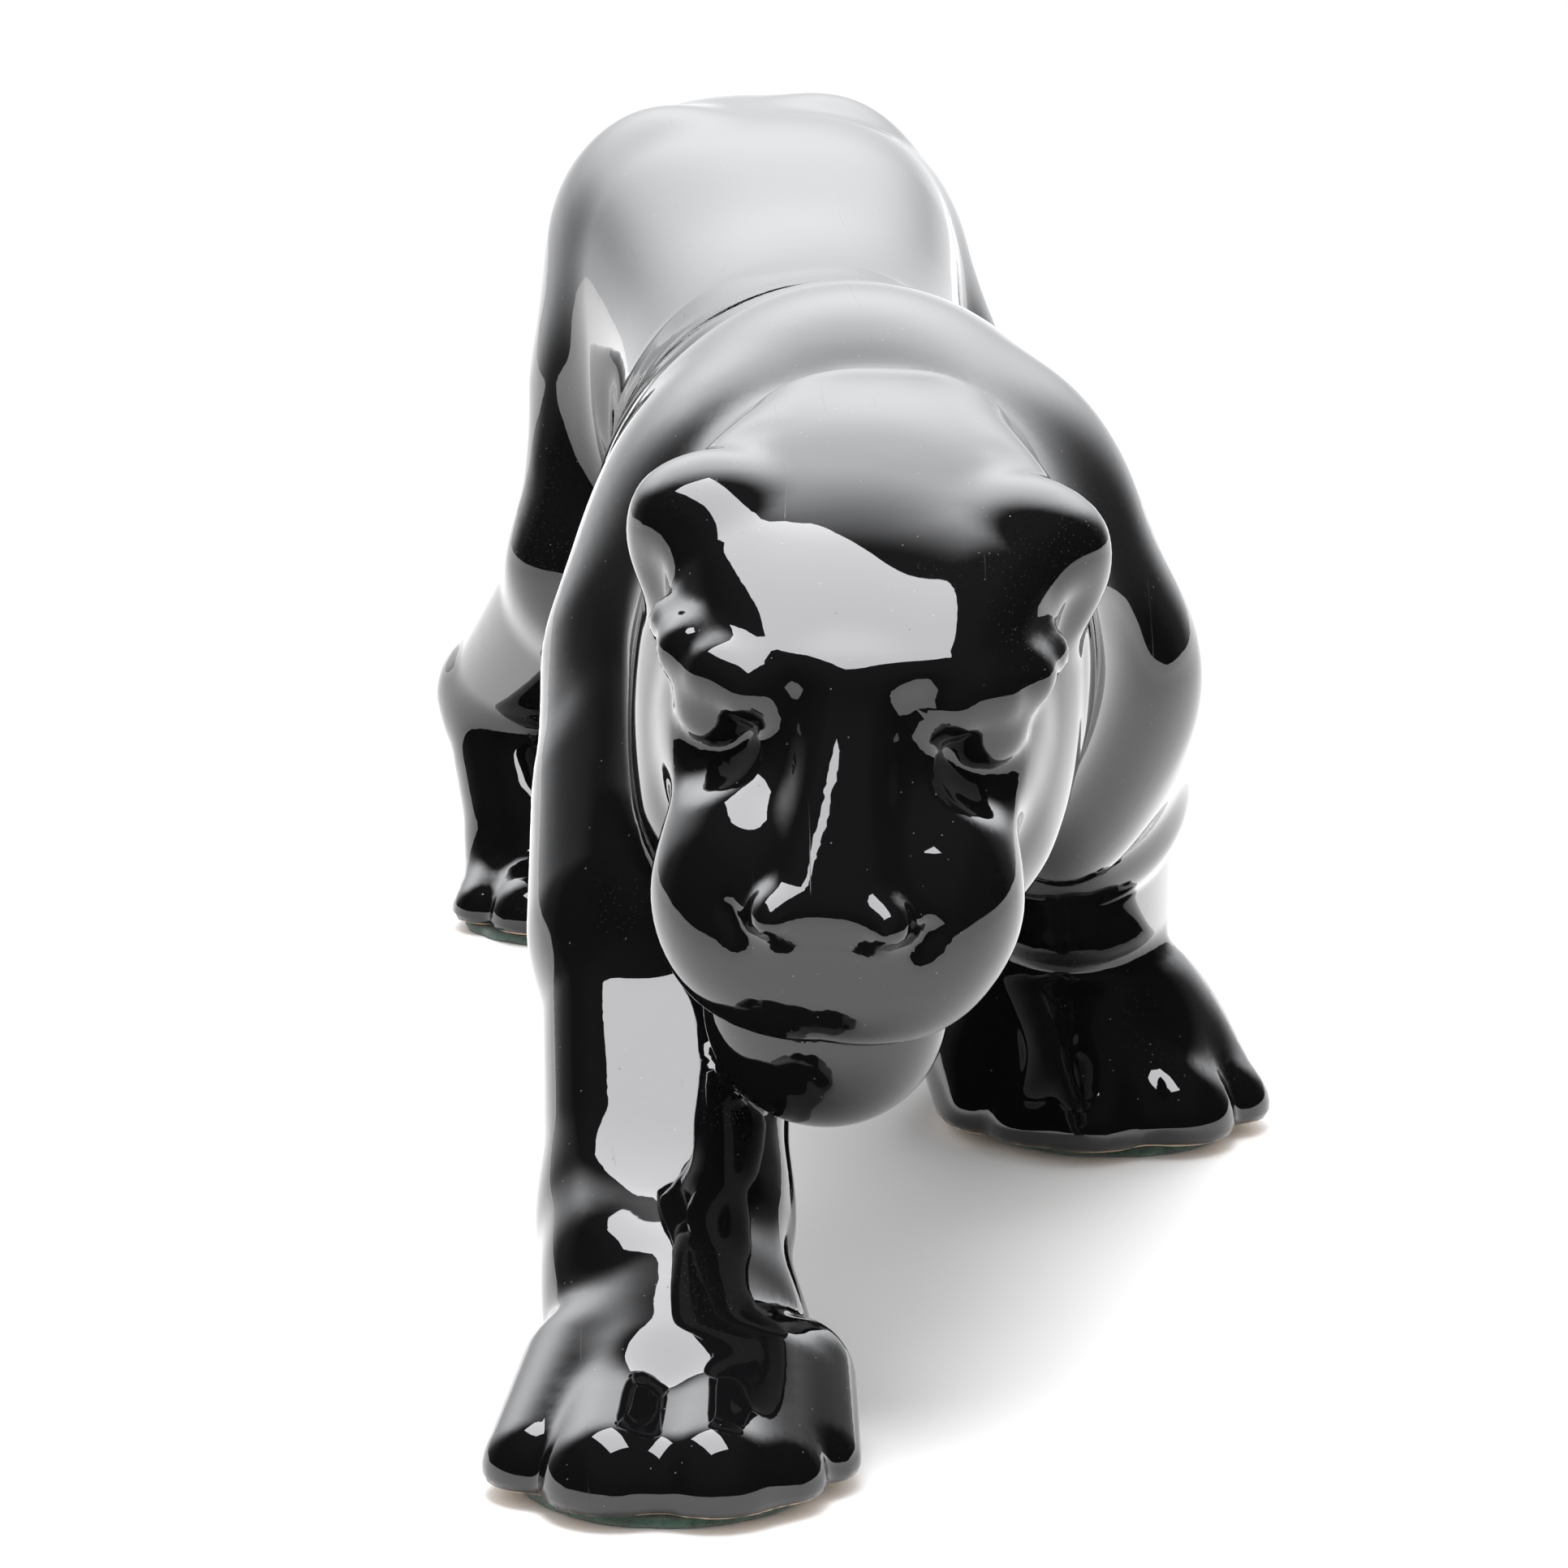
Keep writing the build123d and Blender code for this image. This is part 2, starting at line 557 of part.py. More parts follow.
def thread_outline(crest, root, front_y, turns, wall, crest_first):
    """Outline of a rolled thread shell as (radius, y) points, inner side then outer side."""
    steps = 8
    inner = []
    for step in range(turns * steps + 1):
        wave = 0.5 + 0.5 * cos(2 * 3.14159265 * step / steps) * (1 if crest_first else -1)
        inner.append((root + (crest - root) * wave, front_y + step * THREAD_PITCH / steps))
    outer = [(radius + wall, y) for radius, y in reversed(inner)]
    return inner + outer


THREAD_FRONT_Y = -9.0
thread_length = THREAD_TURNS * THREAD_PITCH
screw_shell_root = BASE_ROOT + HOLDER_GAP
screw_shell_crest = BASE_CREST + HOLDER_GAP
screw_shell_rear_y = THREAD_FRONT_Y + thread_length
with BuildPart() as screw_shell:
    turned_about_lamp(
        [(screw_shell_crest, THREAD_FRONT_Y - 1.2)]
        + thread_outline(screw_shell_crest, screw_shell_root, THREAD_FRONT_Y, THREAD_TURNS, SHEET, True)
        + [(screw_shell_crest + SHEET, THREAD_FRONT_Y - 1.2)]
    )
    turned_about_lamp([
        (screw_shell_crest, screw_shell_rear_y - 0.05),
        (screw_shell_crest + SHEET, screw_shell_rear_y - 0.05),
        (screw_shell_crest + SHEET, INTERIOR_FRONT_Y),
        (8.5, INTERIOR_FRONT_Y),
        (8.5, INTERIOR_FRONT_Y - SHEET),
        (screw_shell_crest, INTERIOR_FRONT_Y - SHEET),
    ])
screw_shell.part.label = "screw_shell"
export_step(screw_shell.part, "parts/screw_shell.step")

CONTACT_FRONT_Y = INTERIOR_FRONT_Y - 1.1
with BuildPart() as centre_contact:
    with BuildSketch(Plane(origin=(LAMP_X - 2, 0, LAMP_Z), x_dir=(0, 1, 0), z_dir=(1, 0, 0))):
        with BuildLine():
            Polyline(
                (INTERIOR_FRONT_Y, -5),
                (INTERIOR_FRONT_Y, -1.4),
                (INTERIOR_FRONT_Y + 4.8, -1.4),
                (INTERIOR_FRONT_Y + 4.8, -0.9),
                (INTERIOR_FRONT_Y - 0.5, -0.9),
                (CONTACT_FRONT_Y + 0.5, 1.5),
                (CONTACT_FRONT_Y, 1.5),
                (INTERIOR_FRONT_Y - 0.5, -1.9),
                (INTERIOR_FRONT_Y - 0.5, -5),
                close=True,
            )
        make_face()
    extrude(amount=4)
centre_contact.part.label = "centre_contact"
export_step(centre_contact.part, "parts/centre_contact.step")

# brass terminal plates on the two sides of the rear block, one screw in each
with BuildPart() as terminal_plates:
    for side in (-1, 1):
        with BuildSketch(Plane(origin=(LAMP_X, 39, LAMP_Z + side * TERMINAL_HEIGHT), z_dir=(0, 0, side))):
            Rectangle(8, 9)
            Circle(1.75, mode=Mode.SUBTRACT)
        extrude(amount=0.8)
terminal_plates.part.label = "terminal_plates"
export_step(terminal_plates.part, "parts/terminal_plates.step")

with BuildPart() as terminal_screws:
    for side in (-1, 1):
        plate_face = LAMP_Z + side * (TERMINAL_HEIGHT + 0.8)
        with BuildSketch(Plane(origin=(LAMP_X, 39, LAMP_Z + side * TERMINAL_HEIGHT), z_dir=(0, 0, side))):
            Circle(1.7)
        extrude(amount=1.0)
        with BuildSketch(Plane(origin=(LAMP_X, 39, plate_face), z_dir=(0, 0, side))):
            Circle(3.1)
        extrude(amount=1.8)
        with BuildSketch(Plane(origin=(LAMP_X, 39, plate_face + side * 1.8), z_dir=(0, 0, side))):
            Rectangle(7, 0.8)
        extrude(amount=-0.8, mode=Mode.SUBTRACT)
terminal_screws.part.label = "terminal_screws"
export_step(terminal_screws.part, "parts/terminal_screws.step")


# ----------------------------------------------------------------------------
# Turn switch: spindle, rotor and key on a radial axis
# ----------------------------------------------------------------------------
def key_plane(x):
    return Plane(origin=(x, KEY_Y, LAMP_Z), x_dir=(0, 1, 0), z_dir=(1, 0, 0))


SPINDLE_START_X = LAMP_X - 7.5
KEY_START_X = 17.0
KEY_END_X = 31.0
with BuildPart() as switch_spindle:
    with BuildSketch(key_plane(SPINDLE_START_X)):
        Circle(SPINDLE_RADIUS)
    extrude(amount=KEY_START_X + 5 - SPINDLE_START_X)
switch_spindle.part.label = "switch_spindle"
export_step(switch_spindle.part, "parts/switch_spindle.step")

# four-lobed cam pressed on the spindle
with BuildPart() as switch_rotor:
    with BuildSketch(key_plane(LAMP_X - ROTOR_HALF)):
        Rectangle(2 * ROTOR_RADIUS - 2.5, 2 * ROTOR_RADIUS - 2.5)
        Circle(ROTOR_RADIUS, mode=Mode.INTERSECT)
        Circle(SPINDLE_RADIUS, mode=Mode.SUBTRACT)
    extrude(amount=2 * ROTOR_HALF)
switch_rotor.part.label = "switch_rotor"
export_step(switch_rotor.part, "parts/switch_rotor.step")

with BuildPart() as switch_key:
    with BuildSketch(key_plane(KEY_START_X)):
        Circle(4.2)
    extrude(amount=5)
    with BuildSketch(Plane(origin=(KEY_START_X + 3, KEY_Y, LAMP_Z - 2), x_dir=(1, 0, 0), z_dir=(0, 0, 1))):
        with Locations(((KEY_END_X - KEY_START_X - 3) / 2, 0)):
            RectangleRounded(KEY_END_X - KEY_START_X - 3, 16, 3.5)
    extrude(amount=4)
    fillet(switch_key.edges().group_by(Axis.X)[-1], 1.2)
    with BuildSketch(key_plane(KEY_START_X)):
        Circle(SPINDLE_RADIUS)
    extrude(amount=5, mode=Mode.SUBTRACT)
switch_key.part.label = "switch_key"
export_step(switch_key.part, "parts/switch_key.step")

# ----------------------------------------------------------------------------
# Bulb
# ----------------------------------------------------------------------------
BASE_FRONT_Y = THREAD_FRONT_Y - 4.0
BULB_RADIUS = 17.5
BULB_TIP_Y = -54.0
GLASS_WALL = 0.8

with BuildPart() as bulb_base:
    turned_about_lamp(
        [(BASE_CREST - SHEET, BASE_FRONT_Y)]
        + [(radius - SHEET, y) for radius, y in
           thread_outline(BASE_CREST, BASE_ROOT, THREAD_FRONT_Y, THREAD_TURNS, SHEET, True)[:-1]]
        + [(BASE_CREST, BASE_FRONT_Y)]
    )
bulb_base.part.label = "bulb_base"
export_step(bulb_base.part, "parts/bulb_base.step")

base_rear_y = THREAD_FRONT_Y + thread_length
with BuildPart() as bulb_base_insulator:
    turned_about_lamp([
        (BASE_ROOT - SHEET - 0.02, base_rear_y - 0.8),
        (BASE_ROOT - SHEET - 0.02, base_rear_y),
        (BASE_CREST - 0.3, base_rear_y),
        (BASE_CREST - 1.4, base_rear_y + 0.6),
        (5.6, base_rear_y + 2.0),
        (3.2, base_rear_y + 2.0),
        (3.2, base_rear_y - 0.8),
    ])
bulb_base_insulator.part.label = "bulb_base_insulator"
export_step(bulb_base_insulator.part, "parts/bulb_base_insulator.step")

with BuildPart() as bulb_contact:
    turned_about_lamp([
        (0, base_rear_y - 0.8),
        (3.18, base_rear_y - 0.8),
        (3.18, base_rear_y + 2.0),
        (4.4, base_rear_y + 2.0),
        (3.9, base_rear_y + 2.45),
        (2.4, base_rear_y + 2.65),
        (0, base_rear_y + 2.7),
    ])
bulb_contact.part.label = "bulb_contact"
export_step(bulb_contact.part, "parts/bulb_contact.step")


def bulb_wall(inset):
    """Half profile of the blown envelope as (radius, y) points, from the tip to the neck."""
    tip = (0, BULB_TIP_Y + inset)
    shoulder = (BULB_RADIUS - inset, BULB_TIP_Y + BULB_RADIUS + 1)
    neck = (11.6 - inset, BASE_FRONT_Y - 1.5)
    collar = (11.6 - inset, BASE_FRONT_Y + 9)
    return tip, shoulder, neck, collar


with BuildPart() as bulb_glass:
    with BuildSketch(Plane(origin=(LAMP_X, 0, LAMP_Z), x_dir=(1, 0, 0), z_dir=(0, 0, 1))):
        for inset, wall_mode in ((0, Mode.ADD), (GLASS_WALL, Mode.SUBTRACT)):
            tip, shoulder, neck, collar = bulb_wall(inset)
            with BuildLine():
                Spline(tip, shoulder, neck, tangents=((1, 0), (0, 1), (0, 1)))
                Line(neck, collar)
                Line(collar, (0, collar[1]))
                Line((0, collar[1]), tip)
            make_face(mode=wall_mode)
    revolve(axis=Axis((LAMP_X, 0, LAMP_Z), (0, 1, 0)))
bulb_glass.part.label = "bulb_glass"
export_step(bulb_glass.part, "parts/bulb_glass.step")

# flared stem sealed in the neck, with a pinched end that grips the lead wires
STEM_TIP_Y = -26.0
stem_flare_y = BASE_FRONT_Y + 6
with BuildPart() as glass_stem:
    turned_about_lamp([
        (11.6 - GLASS_WALL, stem_flare_y),
        (11.6 - GLASS_WALL, stem_flare_y - 1.0),
        (4.2, stem_flare_y - 5.0),
        (3.0, STEM_TIP_Y + 3),
        (2.2, STEM_TIP_Y),
        (0, STEM_TIP_Y - 0.6),
        (0, STEM_TIP_Y + 4),
        (2.0, STEM_TIP_Y + 6),
        (3.2, stem_flare_y - 4.2),
        (11.6 - GLASS_WALL - 1.4, stem_flare_y),
    ])
    with BuildSketch(Plane(origin=(LAMP_X, 0, LAMP_Z), x_dir=(1, 0, 0), z_dir=(0, 0, 1))):
        with Locations((0, STEM_TIP_Y + 1.5)):
            RectangleRounded(9, 4.5, 1.0)
    extrude(amount=1.2, both=True)
glass_stem.part.label = "glass_stem"
export_step(glass_stem.part, "parts/glass_stem.step")

LEAD_SPREAD = 3.2
LEAD_RADIUS = 0.35
FILAMENT_Y = -34.0
with BuildPart() as lead_wires:
    for side in (-1, 1):
        with BuildLine() as lead:
            Polyline(
                (LAMP_X + side * LEAD_SPREAD, STEM_TIP_Y - 0.85, LAMP_Z),
                (LAMP_X + side * (LEAD_SPREAD + 0.5), STEM_TIP_Y - 3, LAMP_Z),
                (LAMP_X + side * (LEAD_SPREAD + 4.3), FILAMENT_Y, LAMP_Z),
            )
        with BuildSketch(Plane(origin=lead.line @ 0, z_dir=lead.line % 0)):
            Circle(LEAD_RADIUS)
        sweep(path=lead.line, transition=Transition.ROUND)
lead_wires.part.label = "lead_wires"
export_step(lead_wires.part, "parts/lead_wires.step")

with BuildPart() as filament:
    with BuildLine() as coil:
        Spline(
            (LAMP_X - LEAD_SPREAD - 4.3, FILAMENT_Y - 0.55, LAMP_Z),
            (LAMP_X - 3, FILAMENT_Y - 2.6, LAMP_Z),
            (LAMP_X, FILAMENT_Y - 3.1, LAMP_Z),
            (LAMP_X + 3, FILAMENT_Y - 2.6, LAMP_Z),
            (LAMP_X + LEAD_SPREAD + 4.3, FILAMENT_Y - 0.55, LAMP_Z),
        )
    with BuildSketch(Plane(origin=coil.line @ 0, z_dir=coil.line % 0)):
        Circle(0.3)
    sweep(path=coil.line)
filament.part.label = "filament"
export_step(filament.part, "parts/filament.step")
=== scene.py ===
"""Panther television lamp: glazed ceramic figure, felt pads, lamp hardware, studio and camera."""
import json
import math

import bpy
import numpy as np
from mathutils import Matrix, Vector


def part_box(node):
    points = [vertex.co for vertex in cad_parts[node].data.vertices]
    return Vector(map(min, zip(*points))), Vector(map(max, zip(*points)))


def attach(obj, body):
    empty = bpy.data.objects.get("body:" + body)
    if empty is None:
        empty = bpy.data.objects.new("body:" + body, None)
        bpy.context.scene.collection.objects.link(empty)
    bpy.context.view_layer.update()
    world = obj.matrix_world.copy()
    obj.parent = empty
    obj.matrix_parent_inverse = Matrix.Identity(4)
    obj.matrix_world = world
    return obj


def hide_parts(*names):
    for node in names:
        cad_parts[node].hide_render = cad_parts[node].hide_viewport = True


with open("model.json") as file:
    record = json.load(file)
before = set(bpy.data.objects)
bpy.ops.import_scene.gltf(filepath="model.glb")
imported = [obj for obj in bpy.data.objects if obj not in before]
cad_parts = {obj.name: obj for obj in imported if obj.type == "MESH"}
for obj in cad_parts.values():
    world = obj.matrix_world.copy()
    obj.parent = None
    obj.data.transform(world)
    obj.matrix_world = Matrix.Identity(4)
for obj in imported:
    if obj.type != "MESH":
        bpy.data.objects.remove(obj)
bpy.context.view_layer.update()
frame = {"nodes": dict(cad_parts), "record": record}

MM = 0.001
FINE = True

# ---------------------------------------------------------------------------
# Signed distances, in millimetres. p is an array of points, one per row.
# The very small numbers added below keep the divisions finite.
# ---------------------------------------------------------------------------


def smin(a, b, k):
    """Smooth union."""
    h = np.maximum(k - np.abs(a - b), 0) / k
    return np.minimum(a, b) - h * h * k * 0.25


def smax(a, b, k):
    """Smooth intersection."""
    return -smin(-a, -b, k)


def turned(rx=0, ry=0, rz=0):
    """Rotation matrix from degrees about X, then Y, then Z."""
    x, y, z = np.radians([rx, ry, rz])
    about_x = np.array([[1, 0, 0], [0, np.cos(x), -np.sin(x)], [0, np.sin(x), np.cos(x)]])
    about_y = np.array([[np.cos(y), 0, np.sin(y)], [0, 1, 0], [-np.sin(y), 0, np.cos(y)]])
    about_z = np.array([[np.cos(z), -np.sin(z), 0], [np.sin(z), np.cos(z), 0], [0, 0, 1]])
    return about_z @ about_y @ about_x


def ball(p, centre, radii, turn=None):
    """Ellipsoid."""
    q = p - np.asarray(centre, np.float32)
    if turn is not None:
        q = q @ turn.astype(np.float32)
    r = np.asarray(radii, np.float32)
    near = np.sqrt(((q / r) ** 2).sum(1)) + 1e-6
    slope = np.sqrt(((q / (r * r)) ** 2).sum(1)) + 1e-9
    return near * (near - 1) / slope


def limb(p, a, b, ra, rb):
    """Round cone between two points."""
    a, b = np.asarray(a, np.float32), np.asarray(b, np.float32)
    ab, taper = b - a, ra - rb
    l2 = float(ab @ ab)
    a2 = l2 - taper * taper
    pa = p - a
    y = pa @ ab
    z = y - l2
    x2 = ((pa * l2 - y[:, None] * ab) ** 2).sum(1)
    y2, z2 = y * y * l2, z * z * l2
    k = np.sign(taper) * taper * taper * x2
    d = (np.sqrt(x2 * a2 / l2) + y * taper) / l2 - ra
    d = np.where(np.sign(y) * a2 * y2 < k, np.sqrt(x2 + y2) / l2 - ra, d)
    return np.where(np.sign(z) * a2 * z2 > k, np.sqrt(x2 + z2) / l2 - rb, d)


def chain(p, points, k=3):
    """Round cones end to end through (x, y, z, radius) points."""
    if len(p) == 0:
        return np.zeros(0, np.float32)
    d = None
    for a, b in zip(points[:-1], points[1:]):
        link = limb(p, a[:3], b[:3], a[3], b[3])
        d = link if d is None else smin(d, link, k)
    return d


def plane(q, normal, point):
    """Half space below the plane."""
    normal = np.array(normal, np.float32)
    return (q - np.array(point, np.float32)) @ (normal / np.linalg.norm(normal))


def mirrored(q):
    """The same points folded onto the +X side."""
    s = q.copy()
    s[:, 0] = np.abs(s[:, 0])
    return s


def spline(xs, ys):
    """Natural cubic through the points, as a function."""
    xs, ys = np.asarray(xs, float), np.asarray(ys, float)
    n, h = len(xs), np.diff(xs)
    a, b = np.eye(n), np.zeros(n)
    for i in range(1, n - 1):
        a[i, i - 1:i + 2] = h[i - 1], 2 * (h[i - 1] + h[i]), h[i]
        b[i] = 6 * ((ys[i + 1] - ys[i]) / h[i] - (ys[i] - ys[i - 1]) / h[i - 1])
    m = np.linalg.solve(a, b)

    def value(x):
        x = np.clip(x, xs[0], xs[-1])
        i = np.clip(np.searchsorted(xs, x) - 1, 0, n - 2)
        t, u, w = x - xs[i], xs[i + 1] - x, h[i]
        curve = (m[i] * u ** 3 + m[i + 1] * t ** 3) / (6 * w)
        from_left = (ys[i] / w - m[i] * w / 6) * u
        from_right = (ys[i + 1] / w - m[i + 1] * w / 6) * t
        return (curve + from_left + from_right).astype(np.float32)

    return value


# ---------------------------------------------------------------------------
# Torso and the lamp chamber inside it: y, centre x, top z, bottom z, half width
# ---------------------------------------------------------------------------
TORSO = [
    (-160, -4, 138, 80, 27),
    (-135, -4, 149, 67, 35),
    (-105, -4, 161, 58, 44),
    (-75, -4, 160, 60, 45),
    (-35, -4, 153, 67, 41),
    (10, -4, 150, 76, 36),
    (50, -4, 153, 82, 34),
    (90, -5, 160, 84, 37),
    (125, -6, 161, 84, 40),
    (160, -4, 156, 90, 35),
]
CHAMBER = [
    (-105, -4, 140, 82, 22),
    (-75, -4, 150, 74, 33),
    (-35, -4, 147, 75, 34),
    (10, -4, 144, 82, 30),
    (50, -4, 147, 88, 28),
    (90, -5, 154, 90, 31),
    (125, -6, 150, 98, 26),
]


def stations(table):
    """Splines for centre, top, bottom and half width along Y."""
    columns = np.array(table, float).T
    return [spline(columns[0], column) for column in columns[1:]]


TORSO_CURVES = stations(TORSO)
CHAMBER_CURVES = stations(CHAMBER)
# the torso's section turns from round to boxy along this stretch
BOXY_FROM_Y = 10
BOXY_LENGTH = 80


def tube_along_y(p, curves, start, end, boxy, soft):
    """Superelliptic tube through the stations, with softened ends."""
    y = p[:, 1]
    centre, top, bottom, half_width = [curve(y) for curve in curves]
    half_height = (top - bottom) / 2
    n = 2.0 + boxy * np.clip((y - BOXY_FROM_Y) / BOXY_LENGTH, 0, 1)
    x = np.abs(p[:, 0] - centre) / half_width + 1e-4
    z = np.abs(p[:, 2] - (top + bottom) / 2) / half_height + 1e-4
    total = x ** n + z ** n
    size = total ** (1 / n)
    slope = np.hypot(x ** (n - 1) / half_width, z ** (n - 1) / half_height) * total ** (1 / n - 1) + 1e-6
    ends = np.abs(y - (start + end) / 2) - (end - start) / 2
    return smax((size - 1) / slope, ends, soft)


# ---------------------------------------------------------------------------
# Head, modelled in its own frame: across, forward along the nose, up
# ---------------------------------------------------------------------------
def head_frame(turn, nod, tilt):
    """Across (towards +X), nose and crown directions as columns, from angles in degrees."""
    turn, nod, tilt = np.radians([turn, nod, tilt])
    nose = np.array([-np.sin(turn) * np.cos(nod), -np.cos(turn) * np.cos(nod), -np.sin(nod)])
    level = np.array([np.cos(turn), -np.sin(turn), 0])
    upright = np.cross(nose, level)
    across = level * np.cos(tilt) - upright * np.sin(tilt)
    crown = upright * np.cos(tilt) + level * np.sin(tilt)
    return np.stack([across, nose, crown], 1).astype(np.float32)


HEAD_ORIGIN = np.array([-9.5, -170, 112], np.float32)
HEAD = head_frame(turn=9.6, nod=30.4, tilt=5.0)

# upper eyelid and nostril slit: across, forward, up, radius
LID = [
    (12, 40, 26, 1.6), (16.5, 39, 28.5, 2.8), (21.5, 35, 28.5, 3.6),
    (26.5, 28, 26.5, 3.8), (30, 19, 24, 3.4),
]
NOSTRIL = [
    (9.5, 80.5, 15.5, 1.0), (12, 79.5, 13.5, 1.5), (14.5, 76, 12.5, 1.5), (16, 71.5, 13.5, 1.0),
]
# half width of the head's top, from nape to brow
CAP_HALF_WIDTH = spline([-62, -46, -28, -10, 3, 18, 40], [15, 20, 27, 33, 33, 29, 23])
CAP_SIDE_SLOPE = 0.85
CAP_UNDERSIDE = -12
NAPE_Y = -138.0
BRIDGE_FLARE = 1.5


def bar(q, start, end, half_widths, thickness, corner):
    """Flat-topped bar from start to end (forward, up), widening faster near its end, with rounded edges."""
    start, end = np.array(start), np.array(end)
    along = (end - start) / np.linalg.norm(end - start)
    run = (q[:, 1] - start[0]) * along[0] + (q[:, 2] - start[1]) * along[1]
    drop = (q[:, 2] - start[1]) * along[0] - (q[:, 1] - start[0]) * along[1]
    length = float(np.linalg.norm(end - start))
    t = np.clip(run / length, 0, 1)
    half_width = half_widths[0] + (half_widths[1] - half_widths[0]) * t ** BRIDGE_FLARE
    over = [
        np.abs(q[:, 0]) - half_width,
        np.abs(drop + thickness / 2) - thickness / 2,
        np.abs(run - length / 2) - length / 2,
    ]
    over = np.stack([o + corner for o in over], 1)
    return np.linalg.norm(np.maximum(over, 0), axis=1) + np.minimum(over.max(1), 0) - corner


def head(p):
    """Head in its own frame: q as it is, s with both sides folded onto one."""
    q = (p - HEAD_ORIGIN) @ HEAD
    s = mirrored(q)
    # flat crown and forehead planes, rounded over at the sides and the nape
    crown = plane(q, (0, -0.27, 0.963), (0, 12, 40.2))
    forehead = plane(q, (-0.08, 0.17, 0.985), (0, 17, 39))
    d = smax(crown, forehead, 8)
    d = smax(d, (s[:, 0] - CAP_HALF_WIDTH(q[:, 1])) * CAP_SIDE_SLOPE, 13)
    d = smax(smax(d, CAP_UNDERSIDE - q[:, 2], 8), p[:, 1] - NAPE_Y, 7)
    # the brow falls steeply to the eyes
    d = smax(d, plane(q, (0, 0.94, -0.34), (0, 38.5, 30)), 5)
    # skull, temples, cheeks and jaw
    d = smin(d, ball(q, (0, -8, 2), (33, 38, 31)), 8)
    d = smin(d, ball(q, (0, 14, 10), (25, 38, 25)), 8)
    d = smin(d, ball(s, (15, 12, -9), (19.5, 31, 28)), 10)
    d = smin(d, limb(q, (0, 0, -18), (0, 50, -20), 20, 13), 10)
    # face beside the bridge, then the bridge
    d = smin(d, limb(s, (13, 26, 13), (13.5, 56, 5), 14.5, 13), 8)
    d = smin(d, bar(q, (35, 35.5), (79.5, 18.5), (6.4, 10.5), 20, 5.5), 7)
    # nostril wings, then the muzzle, fuller on its left
    d = smin(d, ball(s, (9.0, 76, 17.0), (3.2, 4.5, 2.9)), 3)
    muzzle = ball(s, (12.2, 57, 2), (16.3, 21, 16.5))
    muzzle = smin(muzzle, ball(q, (0, 60, 1), (16, 20.5, 15)), 12)
    muzzle = smin(muzzle, ball(q, (17.5, 58, 7), (10, 14, 12)), 5)
    d = smin(d, muzzle, 6)
    # shallow eye sockets, eyes and lids
    d = smax(d, -ball(s, (22.5, 43, 22), (8, 7.5, 6), turned(0, 20, 0)), 5)
    d = smin(d, ball(s, (20.5, 33.5, 21), (7.2, 7.5, 6.2)), 2)
    d = smin(d, chain(s, LID, 4), 4)
    # a dip behind each ear, then the ears, hollowed in front and cut off flat
    d = smax(d, -limb(s, (24, -22, 39), (24, -8, 45), 5, 4), 7)
    ear = ball(s, (27, -2, 24.5), (11.5, 10.5, 13), turned(0, 15, 0))
    ear = smax(ear, -ball(s, (31.5, 10.5, 23), (6.5, 6.5, 7.5)), 4)
    ear = smax(ear, plane(s, (0.15, -0.24, 0.96), (27, -3, 36.8)), 5)
    d = smin(d, ear, 7)
    # chin, tucked under the lip, and the nostril slits
    d = smin(d, ball(q, (-0.5, 53, -24), (19.6, 19, 20.5)), 1.2)
    return smax(d, -chain(s, NOSTRIL, 1), 1.6)


# ---------------------------------------------------------------------------
# Legs and paws
# ---------------------------------------------------------------------------
SOLE = 1.8                # the felt's thickness
TOE_HEIGHT = 4.5
# flats on the right foreleg: normal, point
SHIN_FACET = ((-0.15, -0.645, 0.75), (-43.7, -178.2, 68))
WRIST_FACET = ((-0.04, -0.37, 0.93), (-44, -210, 40.6))


def paw(p, x, y, turn, size, side=1):
    """Wedge-shaped paw, toes towards -Y before turning; its lone outer toe is on the -X side."""
    q = (p - np.array([x, y, 0], np.float32)) @ turned(0, 0, -turn).astype(np.float32) / size
    q = q * np.array([side, 1, 1], np.float32)
    # the walls go straight down below the toes' middles
    q[:, 2] = np.maximum(q[:, 2], TOE_HEIGHT)
    d = ball(q, (0, 14, 5), (22, 24, 19))
    d = smin(d, ball(q, (0, 26, 15), (18, 17, 17)), 10)
    second_toe = limb(q, (-6.5, 8, 10), (-8, -21.5, 4.5), 13, 11.4)
    third_toe = limb(q, (6.5, 8, 10), (7.5, -21.5, 4.5), 13, 11.4)
    d = smin(d, smin(second_toe, third_toe, 4), 6)
    d = smin(d, limb(q, (13, 3, 13), (15.5, -17, 4), 10.5, 9.2), 3)
    d = smin(d, limb(q, (17, 9, 12), (20.5, -7, 4), 10.5, 8.8), 2)
    d = smin(d, limb(q, (-14, 8, 12), (-19.8, -13, 4), 11.5, 9.4), 2)
    return smax(d * size, SOLE - p[:, 2], 3)


def fore_right(p):
    """Leading foreleg, stretched forward."""
    d = ball(p, (-32, -110, 106), (20, 27, 44), turned(18, 5))
    d = smin(d, limb(p, (-35, -116, 100), (-40, -157, 66), 23.5, 23), 10)
    shin = limb(p, (-39, -137, 83), (-43, -199, 29), 21, 19.5)
    shin = smin(shin, limb(p, (-43, -196, 27), (-44, -236, 11.8), 20, 14.2), 5)
    shin = smin(shin, ball(p, (-51, -213, 22), (12, 13, 15)), 6)
    shin = smax(shin, smin(plane(p, *SHIN_FACET), plane(p, *WRIST_FACET), 3), 3)
    d = smin(d, shin, 4)
    return smin(d, paw(p, -44.2, -242, 8, 1.0), 7)


